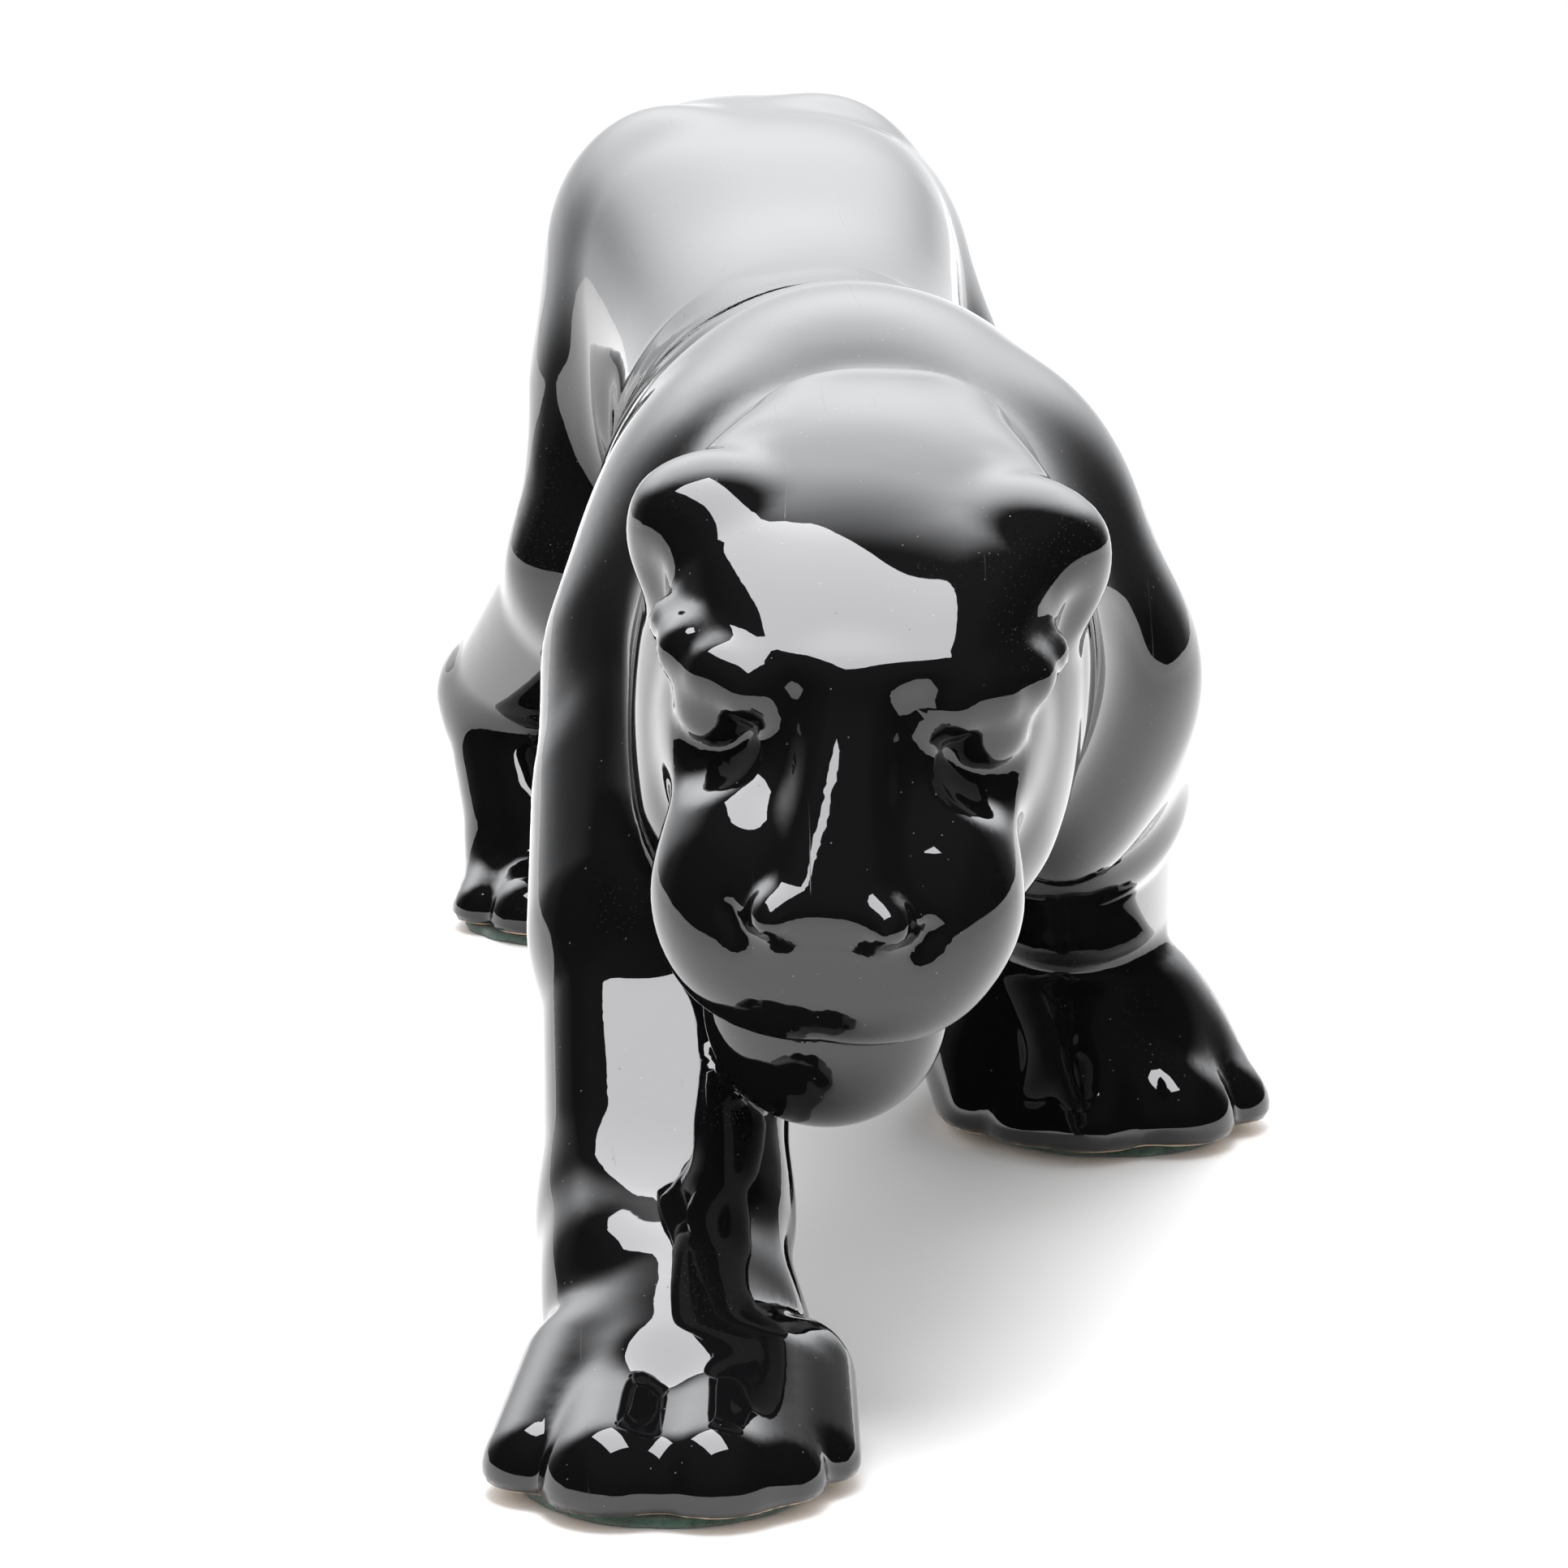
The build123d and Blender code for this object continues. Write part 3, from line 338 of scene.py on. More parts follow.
def fore_left(p):
    """Foreleg set back under the shoulder."""
    d = ball(p, (27, -108, 104), (21, 27, 43), turned(-8, -5))
    d = smin(d, limb(p, (30, -105, 96), (34, -82, 74), 24, 21), 10)
    d = smin(d, limb(p, (34, -78, 70), (41, -34, 42), 20, 18), 6)
    d = smin(d, ball(p, (41.5, -35, 14), (25.5, 26, 24)), 4)
    return smin(d, paw(p, 43.8, -38, -12, 1.0, -1), 9)


def hind_right(p):
    """Hind leg under the haunch."""
    d = ball(p, (-20, 112, 113), (25, 30, 49), turned(-14, -6))
    d = smin(d, limb(p, (-26, 108, 106), (-36, 94, 78), 24, 18), 10)
    d = smin(d, limb(p, (-37, 94, 76), (-54, 150, 40), 17, 12), 8)
    d = smin(d, limb(p, (-54, 150, 40), (-49, 130, 18), 12.5, 14), 6)
    return smin(d, paw(p, -42, 122, 6, 0.8), 6)


def hind_left(p):
    """Hind leg pushed back."""
    d = ball(p, (13, 124, 106), (26, 30, 45), turned(-14, 8))
    d = smin(d, limb(p, (22, 124, 102), (32, 118, 74), 24, 18), 10)
    d = smin(d, limb(p, (32, 120, 74), (37, 188, 44), 17, 12), 8)
    d = smin(d, limb(p, (37, 188, 44), (38, 174, 18), 12.5, 14), 6)
    return smin(d, paw(p, 37, 162, -6, 0.82, -1), 6)


# Tail: x, y, z, radius from the rump to the tip
TAIL = [
    (10, 138, 146, 15), (16, 184, 143, 10), (23, 210, 128, 9), (27, 230, 98, 8),
    (24, 244, 64, 7.5), (15, 255, 38, 7.5), (0, 264, 24, 8), (-14, 267, 26, 8.5),
]
TAIL_STEPS = 32
TAIL_SOFTNESS = 0.3
TAIL_FROM_Y = 105.0       # no tail ahead of this
FAR = 99.0                # distance given to points with no tail near them


def smooth_points(points, count):
    """More points, on a smooth curve through the given ones."""
    knots = np.arange(len(points))
    curves = [spline(knots, column) for column in np.array(points, float).T]
    steps = np.linspace(0, len(points) - 1, count)
    return np.stack([curve(steps) for curve in curves], 1)


TAIL_CURVE = smooth_points(TAIL, TAIL_STEPS)


def tail(p):
    """Tail, worked out only for points behind TAIL_FROM_Y."""
    d = np.full(len(p), FAR, np.float32)
    near = p[:, 1] > TAIL_FROM_Y
    d[near] = chain(p[near], TAIL_CURVE, TAIL_SOFTNESS)
    return d


# lamp chamber details, from the frame
inlet_low, inlet_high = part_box("inlet_nipple")
INLET = (np.array(inlet_low) + np.array(inlet_high)) / 2 / MM
BOSS_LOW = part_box("inlet_rubber_washer")[1][2] / MM
BOSS_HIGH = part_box("socket_bracket")[0][2] / MM
BOSS_RADIUS = 15.0
INLET_HOLE = 5.5
HOLE_OVERRUN = 20         # how far the hole's cutter stands past the boss
WINDOW = (-5.0, 112.0, 52.0, 23.0)     # y, z, half length, half height
WINDOW_FROM_X = 8.0
ENDLESS = 1000            # half length of the window's cutter across the body
# the head's joint to the body: crisp in front of the leg, softer behind and above it
CRISP_JOINT = 1.5
EXTRA_SOFTNESS = 7.5
SOFTER_FROM_Y, SOFTER_LENGTH = -200, 25
SOFTER_FROM_Z, SOFTER_HEIGHT = 75, 15


def upright_cylinder(p, radius, low, high):
    """Cylinder on the cord inlet's axis."""
    d = np.hypot(p[:, 0] - INLET[0], p[:, 1] - INLET[1]) - radius
    return smax(d, np.abs(p[:, 2] - (low + high) / 2) - (high - low) / 2, 1.0)


def figure(p):
    """The whole ceramic figure."""
    d = tube_along_y(p, TORSO_CURVES, start=-150, end=165, boxy=0.9, soft=20)
    d = smin(d, ball(p, (-5, 146, 120), (36, 42, 38)), 12)
    for leg in (fore_right, fore_left, hind_right, hind_left):
        d = smin(d, leg(p), 9)
    d = smax(d, SOLE - p[:, 2], 1.5)
    d = smin(d, tail(p), 7)
    d = smin(d, limb(p, (-6, -150, 108), (-5, -110, 112), 36, 44), 10)
    behind = np.clip((p[:, 1] - SOFTER_FROM_Y) / SOFTER_LENGTH, 0, 1)
    above = np.clip((p[:, 2] - SOFTER_FROM_Z) / SOFTER_HEIGHT, 0, 1)
    d = smin(d, head(p), CRISP_JOINT + EXTRA_SOFTNESS * behind * above)
    # lamp chamber, inlet boss and flank window
    d = smax(d, -tube_along_y(p, CHAMBER_CURVES, start=-104, end=124, boxy=0, soft=12), 3)
    d = smin(d, upright_cylinder(p, BOSS_RADIUS, BOSS_LOW, BOSS_HIGH), 2)
    hole = upright_cylinder(p, INLET_HOLE, BOSS_LOW - HOLE_OVERRUN, BOSS_HIGH + HOLE_OVERRUN)
    d = smax(d, -hole, 1)
    y, z, half_length, half_height = WINDOW
    flat = p * np.array([0, 1, 1], np.float32)
    window = ball(flat, (0, y, z), (ENDLESS, half_length, half_height))
    return smax(d, -smax(window, WINDOW_FROM_X - p[:, 0], 2), 4)


# ---------------------------------------------------------------------------
# Meshing: coarse culling, surface nets, then a relaxed projection to the surface
# ---------------------------------------------------------------------------
BLOCK = 8                 # grid cells along one side of a block
CHUNK = 400_000           # points worked out in one go
FAR_VALUE = 9             # distance given to blocks the surface does not reach
CULL_SAFETY = 1.35        # blocks within this many half diagonals of the surface are worked out
KEPT_SHARE, SPREAD_SHARE = 0.4, 0.6    # of a vertex and of its neighbours' mean, per round
LEAST_STEEPNESS = 0.2
LONGEST_MOVE = 1.5


def sample(field, xs, ys, zs):
    """Field on a grid; far blocks keep only their sign."""
    counts = [len(xs), len(ys), len(zs)]
    starts = [np.arange(0, n, BLOCK) for n in counts]
    ends = [np.minimum(i + BLOCK, n - 1) for i, n in zip(starts, counts)]
    axes = (xs, ys, zs)
    middles = [0.5 * (v[i] + v[j]) for v, i, j in zip(axes, starts, ends)]
    spans = [(v[j] - v[i]).max() for v, i, j in zip(axes, starts, ends)]
    grid = np.meshgrid(*middles, indexing="ij")
    coarse = field(np.stack([g.ravel() for g in grid], 1).astype(np.float32)).reshape(grid[0].shape)
    far = np.sign(coarse).astype(np.float32) * FAR_VALUE
    for axis in range(3):
        far = np.repeat(far, BLOCK, axis)
    values = far[:counts[0], :counts[1], :counts[2]].copy()
    reach = 0.5 * math.sqrt(sum(s * s for s in spans)) * CULL_SAFETY
    blocks = np.nonzero(np.abs(coarse) < reach)
    inner = [g.ravel() for g in np.meshgrid(*[np.arange(BLOCK)] * 3, indexing="ij")]
    index = [(start[b][:, None] + i).ravel() for start, b, i in zip(starts, blocks, inner)]
    kept = (index[0] < counts[0]) & (index[1] < counts[1]) & (index[2] < counts[2])
    index = [i[kept] for i in index]
    found = np.empty(len(index[0]), np.float32)
    for start in range(0, len(found), CHUNK):
        part = slice(start, start + CHUNK)
        points = np.stack([v[i[part]] for v, i in zip(axes, index)], 1)
        found[part] = field(points.astype(np.float32))
    values[tuple(index)] = found
    return values


def surface_net(values, xs, ys, zs):
    """One vertex in each cell the surface crosses, one quad over each crossed edge."""
    inside = values < 0
    shape = [n - 1 for n in values.shape]
    corners = [(a, b, c) for a in (0, 1) for b in (0, 1) for c in (0, 1)]
    full = np.zeros(shape, np.int8)
    for a, b, c in corners:
        full += inside[a:shape[0] + a, b:shape[1] + b, c:shape[2] + c]
    cells = (full > 0) & (full < 8)
    cell = np.nonzero(cells)
    number = np.full(cells.shape, -1, np.int64)
    number[cell] = np.arange(len(cell[0]))
    total, count = np.zeros((len(cell[0]), 3)), np.zeros(len(cell[0]))
    axes = (xs, ys, zs)
    for corner in corners:
        for axis in range(3):
            if corner[axis]:
                continue
            other = tuple(v + (i == axis) for i, v in enumerate(corner))
            here = tuple(c + o for c, o in zip(cell, corner))
            there = tuple(c + o for c, o in zip(cell, other))
            near, far = values[here], values[there]
            crossed = (near < 0) != (far < 0)
            t = np.where(crossed, near / np.where(crossed, near - far, 1), 0)
            for i, v in enumerate(axes):
                total[:, i] += np.where(crossed, v[here[i]] + t * (v[there[i]] - v[here[i]]), 0)
            count += crossed
    quads = []
    for axis in range(3):
        u, w = (axis + 1) % 3, (axis + 2) % 3
        low, high = [slice(None)] * 3, [slice(None)] * 3
        low[axis], high[axis] = slice(0, -1), slice(1, None)
        first = inside[tuple(low)]
        edges = np.argwhere(first != inside[tuple(high)])
        edges = edges[(edges[:, u] > 0) & (edges[:, w] > 0)]
        edges = edges[(edges[:, u] < cells.shape[u]) & (edges[:, w] < cells.shape[w])]
        outward = first[tuple(edges.T)]
        ring = []
        for du, dw in ((1, 1), (0, 1), (0, 0), (1, 0)):
            at = edges.copy()
            at[:, u] -= du
            at[:, w] -= dw
            ring.append(number[tuple(at.T)])
        quad = np.stack(ring, 1)
        quad[~outward] = quad[~outward][:, ::-1]
        quads.append(quad)
    return total / count[:, None], np.concatenate(quads)


def gradient(field, v, step=0.05):
    """Slope of the field by central differences."""
    v = v.astype(np.float32)
    slope = np.zeros((len(v), 3), np.float32)
    for axis in range(3):
        offset = np.zeros(3, np.float32)
        offset[axis] = step
        slope[:, axis] = (field(v + offset) - field(v - offset)) / (2 * step)
    return slope


def settle(field, v, quads, rounds):
    """Even out the vertices and put them back on the surface."""
    sides = np.concatenate([quads[:, [i, (i + 1) % 4]] for i in range(4)])
    sides = np.unique(np.sort(sides, 1), axis=0)
    a, b = sides[:, 0], sides[:, 1]
    n = len(v)
    degree = np.bincount(sides.ravel(), minlength=n).astype(float)
    for round_number in range(rounds):
        total = np.zeros((n, 3))
        for i in range(3):
            total[:, i] = np.bincount(a, v[b, i], n) + np.bincount(b, v[a, i], n)
        v = KEPT_SHARE * v + SPREAD_SHARE * total / degree[:, None]
        # once per round, twice in the last
        for _ in range(2 if round_number == rounds - 1 else 1):
            slope = gradient(field, v)
            steepness = np.maximum((slope * slope).sum(1), LEAST_STEEPNESS)
            move = field(v.astype(np.float32))[:, None] * slope / steepness[:, None]
            v = v - np.clip(move, -LONGEST_MOVE, LONGEST_MOVE)
    return v


def graded(low, high, fine_low, fine_high, fine, coarse):
    """Grid lines, fine inside a range and coarse outside it."""
    left = np.arange(fine_low, low - coarse, -coarse)[::-1]
    middle = np.arange(fine_low, fine_high, fine)[1:]
    right = np.arange(middle[-1] + coarse, high + coarse, coarse)
    return np.concatenate([left, middle, right])


def mesh_object(name, verts_mm, faces, material):
    """Smooth-shaded object from vertices in millimetres."""
    mesh = bpy.data.meshes.new(name)
    mesh.from_pydata((np.asarray(verts_mm) * MM).tolist(), [], [list(map(int, f)) for f in faces])
    mesh.materials.append(material)
    mesh.polygons.foreach_set("use_smooth", [True] * len(mesh.polygons))
    mesh.update()
    piece = bpy.data.objects.new(name, mesh)
    bpy.context.collection.objects.link(piece)
    return piece


# ---------------------------------------------------------------------------
# Node materials
# ---------------------------------------------------------------------------
def set_range(map_range, start, end, low, high):
    """Smooth step from low at start to high at end."""
    map_range.interpolation_type = "SMOOTHSTEP"
    for name, number in (("From Min", start), ("From Max", end), ("To Min", low), ("To Max", high)):
        map_range.inputs[name].default_value = number


class Shader:
    """A material's node tree with short calls for its nodes and links."""

    def __init__(self, name):
        self.material = bpy.data.materials.new(name)
        self.material.use_nodes = True
        self.nodes = self.material.node_tree.nodes
        self.links = self.material.node_tree.links
        self.bsdf = self.nodes["Principled BSDF"]
        self.place = self.nodes.new("ShaderNodeTexCoord").outputs["Object"]

    def put(self, socket, value):
        """Link another node's output, or set a plain value."""
        if isinstance(value, bpy.types.NodeSocket):
            self.links.new(value, socket)
        elif isinstance(value, (tuple, list)) and len(value) == 3 and socket.type == "RGBA":
            socket.default_value = (*value, 1)
        else:
            socket.default_value = value

    def node(self, kind, settings=None, **inputs):
        """New node; inputs are given by name with _ for spaces, or as i0, i1 by number."""
        made = self.nodes.new(kind)
        for key, value in (settings or {}).items():
            setattr(made, key, value)
        for key, value in inputs.items():
            name = key.replace("_", " ")
            self.put(made.inputs[int(key[1:]) if key[0] == "i" and key[1:].isdigit() else name], value)
        return made

    def stretched(self, x, y, z):
        """Object coordinates scaled along the axes."""
        return self.node("ShaderNodeMapping", Vector=self.place, Scale=(x, y, z)).outputs[0]

    def noise(self, scale, detail=3.0, rough=0.5, place=None, distortion=0.0):
        made = self.node("ShaderNodeTexNoise", Vector=place or self.place, Scale=scale, Detail=detail,
                         Roughness=rough, Distortion=distortion)
        return made.outputs["Fac"]

    def cells(self, scale, place=None):
        """Distance from the nearest of many scattered points."""
        made = self.node("ShaderNodeTexVoronoi", Vector=place or self.place, Scale=scale)
        return made.outputs["Distance"]

    def ramp(self, value, start, end, low=0.0, high=1.0):
        """Smooth step from low at start to high at end."""
        made = self.node("ShaderNodeMapRange", Value=value)
        set_range(made, start, end, low, high)
        return made.outputs[0]

    def maths(self, operation, a, b=0.0):
        made = self.nodes.new("ShaderNodeMath")
        made.operation = operation
        self.put(made.inputs[0], a)
        self.put(made.inputs[1], b)
        return made.outputs[0]

    def mix(self, factor, a, b):
        """Colour between a and b."""
        made = self.nodes.new("ShaderNodeMix")
        made.data_type = "RGBA"
        self.put(made.inputs[0], factor)
        self.put(made.inputs[6], a)
        self.put(made.inputs[7], b)
        return made.outputs[2]

    def blend(self, factor, a, b):
        """Number between a and b."""
        made = self.nodes.new("ShaderNodeMix")
        self.put(made.inputs[0], factor)
        self.put(made.inputs[2], a)
        self.put(made.inputs[3], b)
        return made.outputs[0]

    def bump(self, height, distance_mm, strength, under=None):
        """Normal from a height, on top of the normal under it."""
        made = self.node("ShaderNodeBump", Strength=strength, Distance=distance_mm * MM, Height=height)
        if under is not None:
            self.put(made.inputs["Normal"], under)
        return made.outputs[0]

    def finish(self, **inputs):
        """Set the surface's inputs and give the material."""
        for key, value in inputs.items():
            self.put(self.bsdf.inputs[key.replace("_", " ")], value)
        return self.material


def glaze_material():
    """Black lead glaze over tan bisque, bare round the soles, with dust, pinholes and hair scratches."""
    s = Shader("black_glaze")
    height = s.node("ShaderNodeSeparateXYZ", Vector=s.place).outputs["Z"]
    ragged = s.maths("MULTIPLY", s.maths("SUBTRACT", s.noise(90, 4), 0.5), 0.0014)
    bare = s.ramp(s.maths("ADD", height, ragged), 0.0024, 0.0029, 1.0, 0.0)
    # settled dust: fine specks, denser in drifting patches
    patches = s.ramp(s.noise(26, 4, 0.6), 0.52, 0.72)
    specks = s.ramp(s.cells(1500), 0.10, 0.16, 1.0, 0.0)
    coarse_specks = s.ramp(s.cells(330), 0.035, 0.055, 1.0, 0.0)
    dust = s.maths("MAXIMUM", s.maths("MULTIPLY", specks, s.maths("MULTIPLY", patches, 0.35)),
                   s.maths("MULTIPLY", coarse_specks, 0.55))
    # pinholes show the body colour through the glaze
    pinholes = s.ramp(s.cells(230, place=s.stretched(1.0, 1.07, 0.93)), 0.022, 0.034, 1.0, 0.0)
    # hair scratches
    lines = s.node("ShaderNodeTexWave", {"wave_type": "BANDS"}, Vector=s.stretched(1, 0.6, 0.35), Scale=34,
                   Distortion=4, Detail=1).outputs["Fac"]
    scratches = s.maths("MULTIPLY", s.ramp(lines, 0.9990, 0.99995), s.ramp(s.noise(60), 0.57, 0.62))
    glaze = s.mix(s.maths("MULTIPLY", dust, 0.4), (0.0035, 0.0035, 0.0038), (0.42, 0.40, 0.38))
    glaze = s.mix(s.maths("MULTIPLY", pinholes, 0.75), glaze, (0.12, 0.045, 0.025))
    clay = s.mix(s.ramp(s.noise(420, 5), 0.35, 0.7), (0.50, 0.36, 0.25), (0.70, 0.56, 0.42))
    colour = s.mix(bare, glaze, clay)
    gloss = s.blend(patches, 0.018, 0.034)
    gloss = s.maths("ADD", gloss, s.maths("MULTIPLY", s.maths("ADD", dust, scratches), 0.22))
    roughness = s.blend(bare, gloss, 0.85)
    # slow unevenness of the glaze, pits and the sandy bare clay
    waves = s.bump(s.noise(38, 2, 0.4), 0.35, 0.28)
    pits = s.bump(s.maths("MULTIPLY", pinholes, -1.0), 0.15, 0.6, waves)
    grain = s.bump(s.maths("MULTIPLY", s.noise(1800, 3), bare), 0.25, 0.7, pits)
    return s.finish(Base_Color=colour, Roughness=roughness, Normal=grain, IOR=1.62)


def felt_material():
    """Matted green felt with short loose fibres."""
    s = Shader("green_felt")
    fibres = s.noise(2600, 4, 0.7, distortion=1.2)
    tufts = s.noise(420, 3)
    colour = s.mix(s.ramp(tufts, 0.3, 0.7), (0.012, 0.045, 0.028), (0.04, 0.11, 0.075))
    colour = s.mix(s.maths("MULTIPLY", s.ramp(fibres, 0.62, 0.75), 0.4), colour, (0.16, 0.24, 0.19))
    normal = s.bump(fibres, 0.4, 0.9, s.bump(tufts, 0.6, 0.5))
    return s.finish(Base_Color=colour, Roughness=0.95, Normal=normal, Sheen_Weight=0.5, Sheen_Roughness=0.5)


def metal_material(name, base, worn, roughness, grain=(1, 1, 1), tarnish=0.35):
    """Metal with drawn grain, tarnish clouds and small scuffs."""
    s = Shader(name)
    streaks = s.noise(900, 4, 0.6, place=s.stretched(*grain))
    clouds = s.noise(60, 5, 0.6)
    spots = s.ramp(s.cells(260), 0.08, 0.16, 1.0, 0.0)
    colour = s.mix(s.maths("MULTIPLY", s.ramp(clouds, 0.42, 0.7), tarnish), base, worn)
    colour = s.mix(s.maths("MULTIPLY", spots, tarnish * 0.6), colour, worn)
    rough = s.maths("ADD", s.ramp(streaks, 0.3, 0.7, roughness * 0.75, roughness * 1.25),
                    s.maths("MULTIPLY", spots, 0.15))
    return s.finish(Base_Color=colour, Metallic=1.0, Roughness=rough, Normal=s.bump(streaks, 0.02, 0.35))


def moulded_material(name, base, fleck, roughness, swirl):
    """Pressed resin with filler flecks and flow swirls."""
    s = Shader(name)
    flow = s.noise(swirl, 4, 0.55, distortion=2.5)
    flecks = s.ramp(s.cells(1400), 0.12, 0.2, 1.0, 0.0)
    colour = s.mix(s.ramp(flow, 0.35, 0.7), base, fleck)
    colour = s.mix(s.maths("MULTIPLY", flecks, 0.25), colour, fleck)
    rough = s.ramp(s.noise(300, 3), 0.3, 0.7, roughness * 0.8, roughness * 1.2)
    return s.finish(Base_Color=colour, Roughness=rough, Normal=s.bump(s.noise(1500, 3), 0.05, 0.4))


def rubber_material():
    """Black rubber with a grey bloom."""
    s = Shader("black_rubber")
    bloom = s.ramp(s.noise(160, 4), 0.45, 0.75)
    colour = s.mix(s.maths("MULTIPLY", bloom, 0.5), (0.018, 0.018, 0.018), (0.09, 0.09, 0.085))
    return s.finish(Base_Color=colour, Roughness=s.blend(bloom, 0.55, 0.85),
                    Normal=s.bump(s.noise(1200, 3), 0.08, 0.5))


def fibre_material():
    """Vulcanised paper liner."""
    s = Shader("fibre_liner")
    strands = s.noise(900, 5, 0.7, place=s.stretched(1, 0.12, 1))
    colour = s.mix(s.ramp(strands, 0.35, 0.7), (0.42, 0.33, 0.22), (0.60, 0.51, 0.37))
    scorch = s.ramp(s.noise(45, 4), 0.55, 0.8)
    colour = s.mix(s.maths("MULTIPLY", scorch, 0.5), colour, (0.22, 0.14, 0.08))
    return s.finish(Base_Color=colour, Roughness=0.8, Normal=s.bump(strands, 0.1, 0.5))


def glass_material():
    """Clear blown glass with faint striae and a film of dust."""
    s = Shader("clear_glass")
    striae = s.noise(55, 2, 0.4, place=s.stretched(1, 0.25, 1))
    film = s.ramp(s.noise(120, 5, 0.65), 0.55, 0.85)
    colour = s.mix(s.maths("MULTIPLY", film, 0.25), (0.98, 0.99, 0.99), (0.86, 0.86, 0.84))
    return s.finish(Base_Color=colour, Roughness=s.blend(film, 0.01, 0.06), IOR=1.5,
                    Transmission_Weight=1.0, Normal=s.bump(striae, 0.12, 0.25))


def insulator_material():
    """Black glass bead moulded into the bulb's base."""
    s = Shader("black_insulator")
    swirls = s.ramp(s.noise(200, 4, distortion=1.5), 0.4, 0.7)
    colour = s.mix(swirls, (0.006, 0.006, 0.01), (0.03, 0.025, 0.05))
    return s.finish(Base_Color=colour, Roughness=0.12, Normal=s.bump(s.noise(260, 3), 0.1, 0.4))


MATERIALS = {
    "black_glaze": glaze_material(),
    "green_felt": felt_material(),
    "shell_brass": metal_material("shell_brass", (0.72, 0.50, 0.22), (0.30, 0.17, 0.07), 0.24, (1, 6, 1)),
    "zinc_steel": metal_material("zinc_steel", (0.60, 0.60, 0.58), (0.30, 0.28, 0.25), 0.34),
    "black_rubber": rubber_material(),
    "black_moulding": moulded_material(
        "black_moulding", (0.012, 0.011, 0.010), (0.035, 0.03, 0.026), roughness=0.3, swirl=70),
    "brown_moulding": moulded_material(
        "brown_moulding", (0.07, 0.032, 0.016), (0.16, 0.08, 0.04), roughness=0.38, swirl=90),
    "fibre_liner": fibre_material(),
    "contact_brass": metal_material("contact_brass", (0.80, 0.60, 0.30), (0.36, 0.22, 0.10), 0.2),
    "base_metal": metal_material("base_metal", (0.75, 0.74, 0.71), (0.42, 0.38, 0.33), 0.26),
    "black_insulator": insulator_material(),
    "clear_glass": glass_material(),
    "solder": metal_material("solder", (0.55, 0.55, 0.56), (0.28, 0.28, 0.29), 0.45),
    "lead_wire": metal_material("lead_wire", (0.50, 0.47, 0.44), (0.22, 0.20, 0.18), 0.35),
}
slot_of = {entry["node"]: entry["material_slot"] for entry in frame["record"]["subparts"]}
for node_name, node_object in frame["nodes"].items():
    for material_slot in node_object.material_slots:
        material_slot.material = MATERIALS[slot_of[node_name]]

# ---------------------------------------------------------------------------
# Glazed figure
# ---------------------------------------------------------------------------
body_low, body_high = (np.array(corner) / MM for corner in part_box("panther_body"))
MARGIN = 6.0
FLOOR_MARGIN = 3
HEAD_END_Y = -140.0
COARSENING = 1.9          # the grid's longer step along the body behind the head
SETTLE_ROUNDS = 2
spacing = 1.58 if FINE else 2.2
grid_low, grid_high = body_low - MARGIN, body_high + MARGIN
grid_x = np.arange(grid_low[0], grid_high[0], spacing)
grid_y = graded(grid_low[1], grid_high[1], grid_low[1], HEAD_END_Y, spacing, spacing * COARSENING)
grid_z = np.arange(-FLOOR_MARGIN, grid_high[2], spacing)
skin, skin_faces = surface_net(sample(figure, grid_x, grid_y, grid_z), grid_x, grid_y, grid_z)
skin = settle(figure, skin, skin_faces, SETTLE_ROUNDS)
glazed_figure = mesh_object("glazed_figure", skin, skin_faces, MATERIALS["black_glaze"])
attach(glazed_figure, "lamp_body")
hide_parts("panther_body")
print("figure", len(skin_faces), "quads", skin.min(0).round(1), skin.max(0).round(1))

# ---------------------------------------------------------------------------
# Felt pads: cut discs with a soft uneven edge
# ---------------------------------------------------------------------------
# rings of the pad from below to above: share of its radius, share of its height
PAD_RINGS = (
    (0.5, 0.0), (0.93, 0.0), (0.985, 0.10), (1.0, 0.35), (1.0, 0.7), (0.985, 0.93), (0.93, 1.0),
)
PAD_STEPS = 96
RIM_FROM = 0.5            # CAD vertices past this share of the reach belong to the rim
RAGGEDNESS = 0.55         # the rim's unevenness before it is smoothed
WOBBLE_SPAN = 4           # rim points averaged together
random = np.random.default_rng(7)


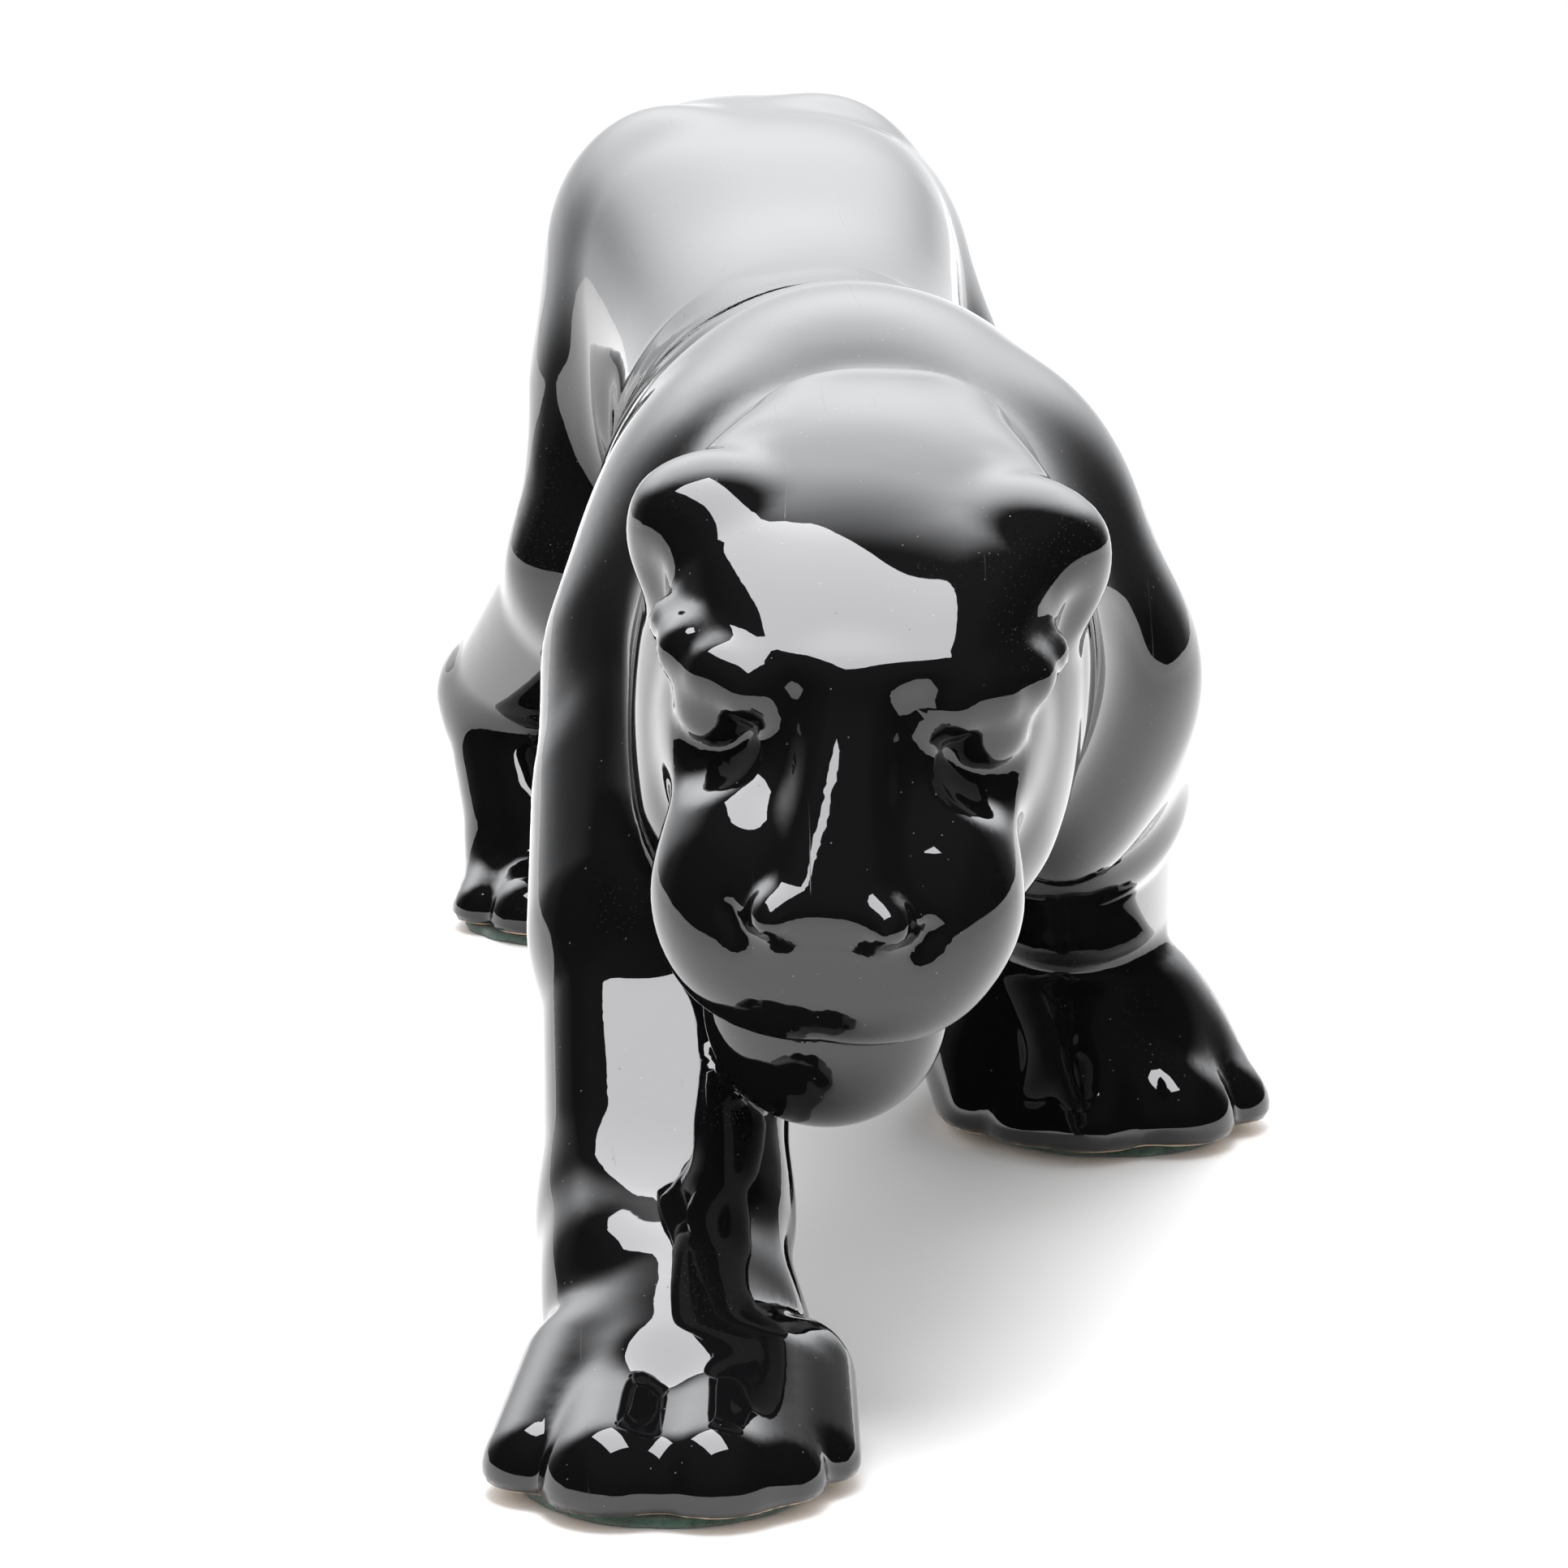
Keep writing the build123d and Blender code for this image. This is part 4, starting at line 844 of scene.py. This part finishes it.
def felt_pad(node):
    """Pad with the CAD pad's outline, pressed edges and ragged rim."""
    mesh = frame["nodes"][node].data
    points = np.array([v.co[:] for v in mesh.vertices]) / MM
    middle = (points[:, :2].min(0) + points[:, :2].max(0)) / 2
    angles = np.linspace(0, 2 * np.pi, PAD_STEPS, endpoint=False)
    offsets = points[:, :2] - middle
    around = np.arctan2(offsets[:, 1], offsets[:, 0])
    reach = np.hypot(offsets[:, 0], offsets[:, 1])
    rim = reach > reach.max() * RIM_FROM
    order = np.argsort(around[rim])
    radius = np.interp(angles, around[rim][order], reach[rim][order], period=2 * np.pi)
    height = points[:, 2].max()
    ragged = np.tile(random.normal(0, RAGGEDNESS, PAD_STEPS), 3)
    wobble = np.convolve(ragged, np.ones(WOBBLE_SPAN) / WOBBLE_SPAN, "same")[PAD_STEPS:2 * PAD_STEPS]
    verts, faces = [(*middle, 0.0)], []
    for share, level in PAD_RINGS:
        size = radius * share + wobble * share
        for r, a in zip(size, angles):
            verts.append((middle[0] + r * np.cos(a), middle[1] + r * np.sin(a), height * level))
    verts.append((*middle, height))
    for i in range(PAD_STEPS):
        j = (i + 1) % PAD_STEPS
        faces.append((0, 1 + j, 1 + i))
        for ring in range(len(PAD_RINGS) - 1):
            a, b = 1 + ring * PAD_STEPS, 1 + (ring + 1) * PAD_STEPS
            faces.append((a + i, a + j, b + j, b + i))
        top = 1 + (len(PAD_RINGS) - 1) * PAD_STEPS
        faces.append((top + i, top + j, len(verts) - 1))
    piece = mesh_object(node.replace("felt_pad", "felt_sole"), verts, faces, MATERIALS["green_felt"])
    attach(piece, "lamp_body")
    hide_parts(node)


for node_name in frame["nodes"]:
    if node_name.startswith("felt_pad"):
        felt_pad(node_name)

# ---------------------------------------------------------------------------
# Coiled filament between the lead wires, bowed towards the bulb's tip
# ---------------------------------------------------------------------------
fil_low, fil_high = (np.array(corner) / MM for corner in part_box("filament"))
COIL_TURNS = 34
COIL_STEPS = COIL_TURNS * 10
COIL_RADIUS = 0.42
WIRE_RADIUS = 0.11
SIDE_GAP = 0.4            # from the filament's box to the coil
END_GAP = 0.5
BOW_GAPS = 1.1            # END_GAP plus 0.6 at the tip's side
coil_points = []
for step in range(COIL_STEPS + 1):
    t = step / COIL_STEPS
    bow = math.sin(math.pi * t)
    angle = 2 * math.pi * COIL_TURNS * t
    coil_points.append((
        fil_low[0] + SIDE_GAP + (fil_high[0] - fil_low[0] - 2 * SIDE_GAP) * t,
        fil_high[1] - END_GAP - (fil_high[1] - fil_low[1] - BOW_GAPS) * bow + COIL_RADIUS * math.cos(angle),
        (fil_low[2] + fil_high[2]) / 2 + COIL_RADIUS * math.sin(angle),
    ))
curve = bpy.data.curves.new("filament_coil", "CURVE")
curve.dimensions = "3D"
curve.bevel_depth = WIRE_RADIUS * MM
curve.bevel_resolution = 1
line = curve.splines.new("POLY")
line.points.add(len(coil_points) - 1)
for point, place in zip(line.points, coil_points):
    point.co = (*(c * MM for c in place), 1)
curve.materials.append(MATERIALS["lead_wire"])
filament_coil = bpy.data.objects.new("filament_coil", curve)
bpy.context.collection.objects.link(filament_coil)
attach(filament_coil, "bulb")
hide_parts("filament")

# ---------------------------------------------------------------------------
# Studio: pale floor, overhead softbox, white backdrop light, dark room in front
# ---------------------------------------------------------------------------
FLOOR = ((-2600, -1250, 0), (2600, -1250, 0), (2600, 1500, 0), (-2600, 1500, 0))
GLOW_FROM, GLOW_FULL = 0.5, 1.3        # metres from the middle; the floor's edges glow to white
GLOW = 0.5
floor_shader = Shader("pale_floor")
floor_tone = floor_shader.mix(floor_shader.noise(3, 4), (0.83, 0.825, 0.82), (0.86, 0.855, 0.85))
distance = floor_shader.node("ShaderNodeVectorMath", {"operation": "LENGTH"}, i0=floor_shader.place)
glow = floor_shader.ramp(distance.outputs["Value"], GLOW_FROM, GLOW_FULL, 0.0, GLOW)
floor_shader.finish(Base_Color=floor_tone, Roughness=0.7, Emission_Color=(1.0, 1.0, 1.0),
                    Emission_Strength=glow)
floor = mesh_object("floor", FLOOR, [(0, 1, 2, 3)], floor_shader.material)


def softbox(name, place, target, width, depth, power, colour=(1, 1, 1)):
    """Rectangular area light aimed at a point; metres and watts."""
    lamp = bpy.data.lights.new(name, "AREA")
    lamp.shape = "RECTANGLE"
    lamp.size, lamp.size_y, lamp.energy, lamp.color = width, depth, power, colour
    holder = bpy.data.objects.new(name, lamp)
    bpy.context.collection.objects.link(holder)
    holder.location = place
    holder.rotation_euler = (Vector(target) - Vector(place)).to_track_quat("-Z", "Y").to_euler()
    return holder


softbox("overhead_softbox", (-0.10, -0.22, 1.0), (-0.02, -0.18, 0.1), width=0.8, depth=0.5,
        power=11.5, colour=(0.97, 0.97, 1.0))
fill = softbox("overhead_fill", (0.15, -0.1, 1.6), (0, 0, 0), width=1.4, depth=1.4, power=10)
fill.visible_glossy = False
DARK_ROOM = 0.01          # the room's brightness in front of the object
DARK_SIDES = 0.08
# parts of a unit direction: the sides darken between the first two, the light grows between the others
LIT_TO_X, DARK_FROM_X = 0.45, 0.8
HORIZON_Z, OVERHEAD_Z = 0.05, 0.6


def room(horizon, overhead, behind_from, behind_to):
    """Bright backdrop behind the object fading to a dark room in front, as the glaze reflects it.

    The camera and the floor see plain white instead.
    """
    world = bpy.data.worlds.new("room")
    world.use_nodes = True
    bpy.context.scene.world = world
    nodes, links = world.node_tree.nodes, world.node_tree.links
    direction = nodes.new("ShaderNodeTexCoord").outputs["Generated"]
    parts = nodes.new("ShaderNodeSeparateXYZ")
    links.new(direction, parts.inputs[0])

    def fade(axis, start, end, low, high):
        made = nodes.new("ShaderNodeMapRange")
        links.new(parts.outputs[axis], made.inputs["Value"])
        set_range(made, start, end, low, high)
        return made.outputs[0]

    def times(first, second):
        made = nodes.new("ShaderNodeMath")
        made.operation = "MULTIPLY"
        links.new(first, made.inputs[0])
        links.new(second, made.inputs[1])
        return made.outputs[0]

    behind = fade("Y", behind_from, behind_to, DARK_ROOM, 1.0)
    sides = times(fade("X", -DARK_FROM_X, -LIT_TO_X, DARK_SIDES, 1.0),
                  fade("X", LIT_TO_X, DARK_FROM_X, 1.0, DARK_SIDES))
    height = fade("Z", HORIZON_Z, OVERHEAD_Z, horizon, overhead)
    lit = nodes["Background"]
    links.new(times(times(behind, sides), height), lit.inputs["Strength"])
    lit.inputs["Color"].default_value = (0.97, 0.98, 1.0, 1)
    pale = nodes.new("ShaderNodeBackground")
    pale.inputs["Strength"].default_value = 1.0
    pale.inputs["Color"].default_value = (1, 1, 1, 1)
    either = nodes.new("ShaderNodeMixShader")
    rays = nodes.new("ShaderNodeLightPath")
    seen = nodes.new("ShaderNodeMath")
    seen.operation = "MAXIMUM"
    links.new(rays.outputs["Is Camera Ray"], seen.inputs[0])
    links.new(rays.outputs["Is Diffuse Ray"], seen.inputs[1])
    links.new(seen.outputs[0], either.inputs[0])
    links.new(lit.outputs[0], either.inputs[1])
    links.new(pale.outputs[0], either.inputs[2])
    links.new(either.outputs[0], nodes["World Output"].inputs[0])


room(horizon=1.3, overhead=4.0, behind_from=0.3, behind_to=0.7)

# ---------------------------------------------------------------------------
# Camera
# ---------------------------------------------------------------------------
CAMERA_PLACE = (-0.1191, -1.4484, 0.384)
HEADING = (0.0758, 0.997, 0)
PITCH = math.atan(0.227)
lens = bpy.data.cameras.new("camera")
lens.sensor_width = 36
lens.lens = 186.3
camera = bpy.data.objects.new("camera", lens)
bpy.context.collection.objects.link(camera)
camera.location = CAMERA_PLACE
ahead = Vector(HEADING).normalized() * math.cos(PITCH) - Vector((0, 0, math.sin(PITCH)))
camera.rotation_euler = ahead.to_track_quat("-Z", "Y").to_euler()
scene = bpy.context.scene
scene.camera = camera
scene.view_settings.view_transform = "Standard"
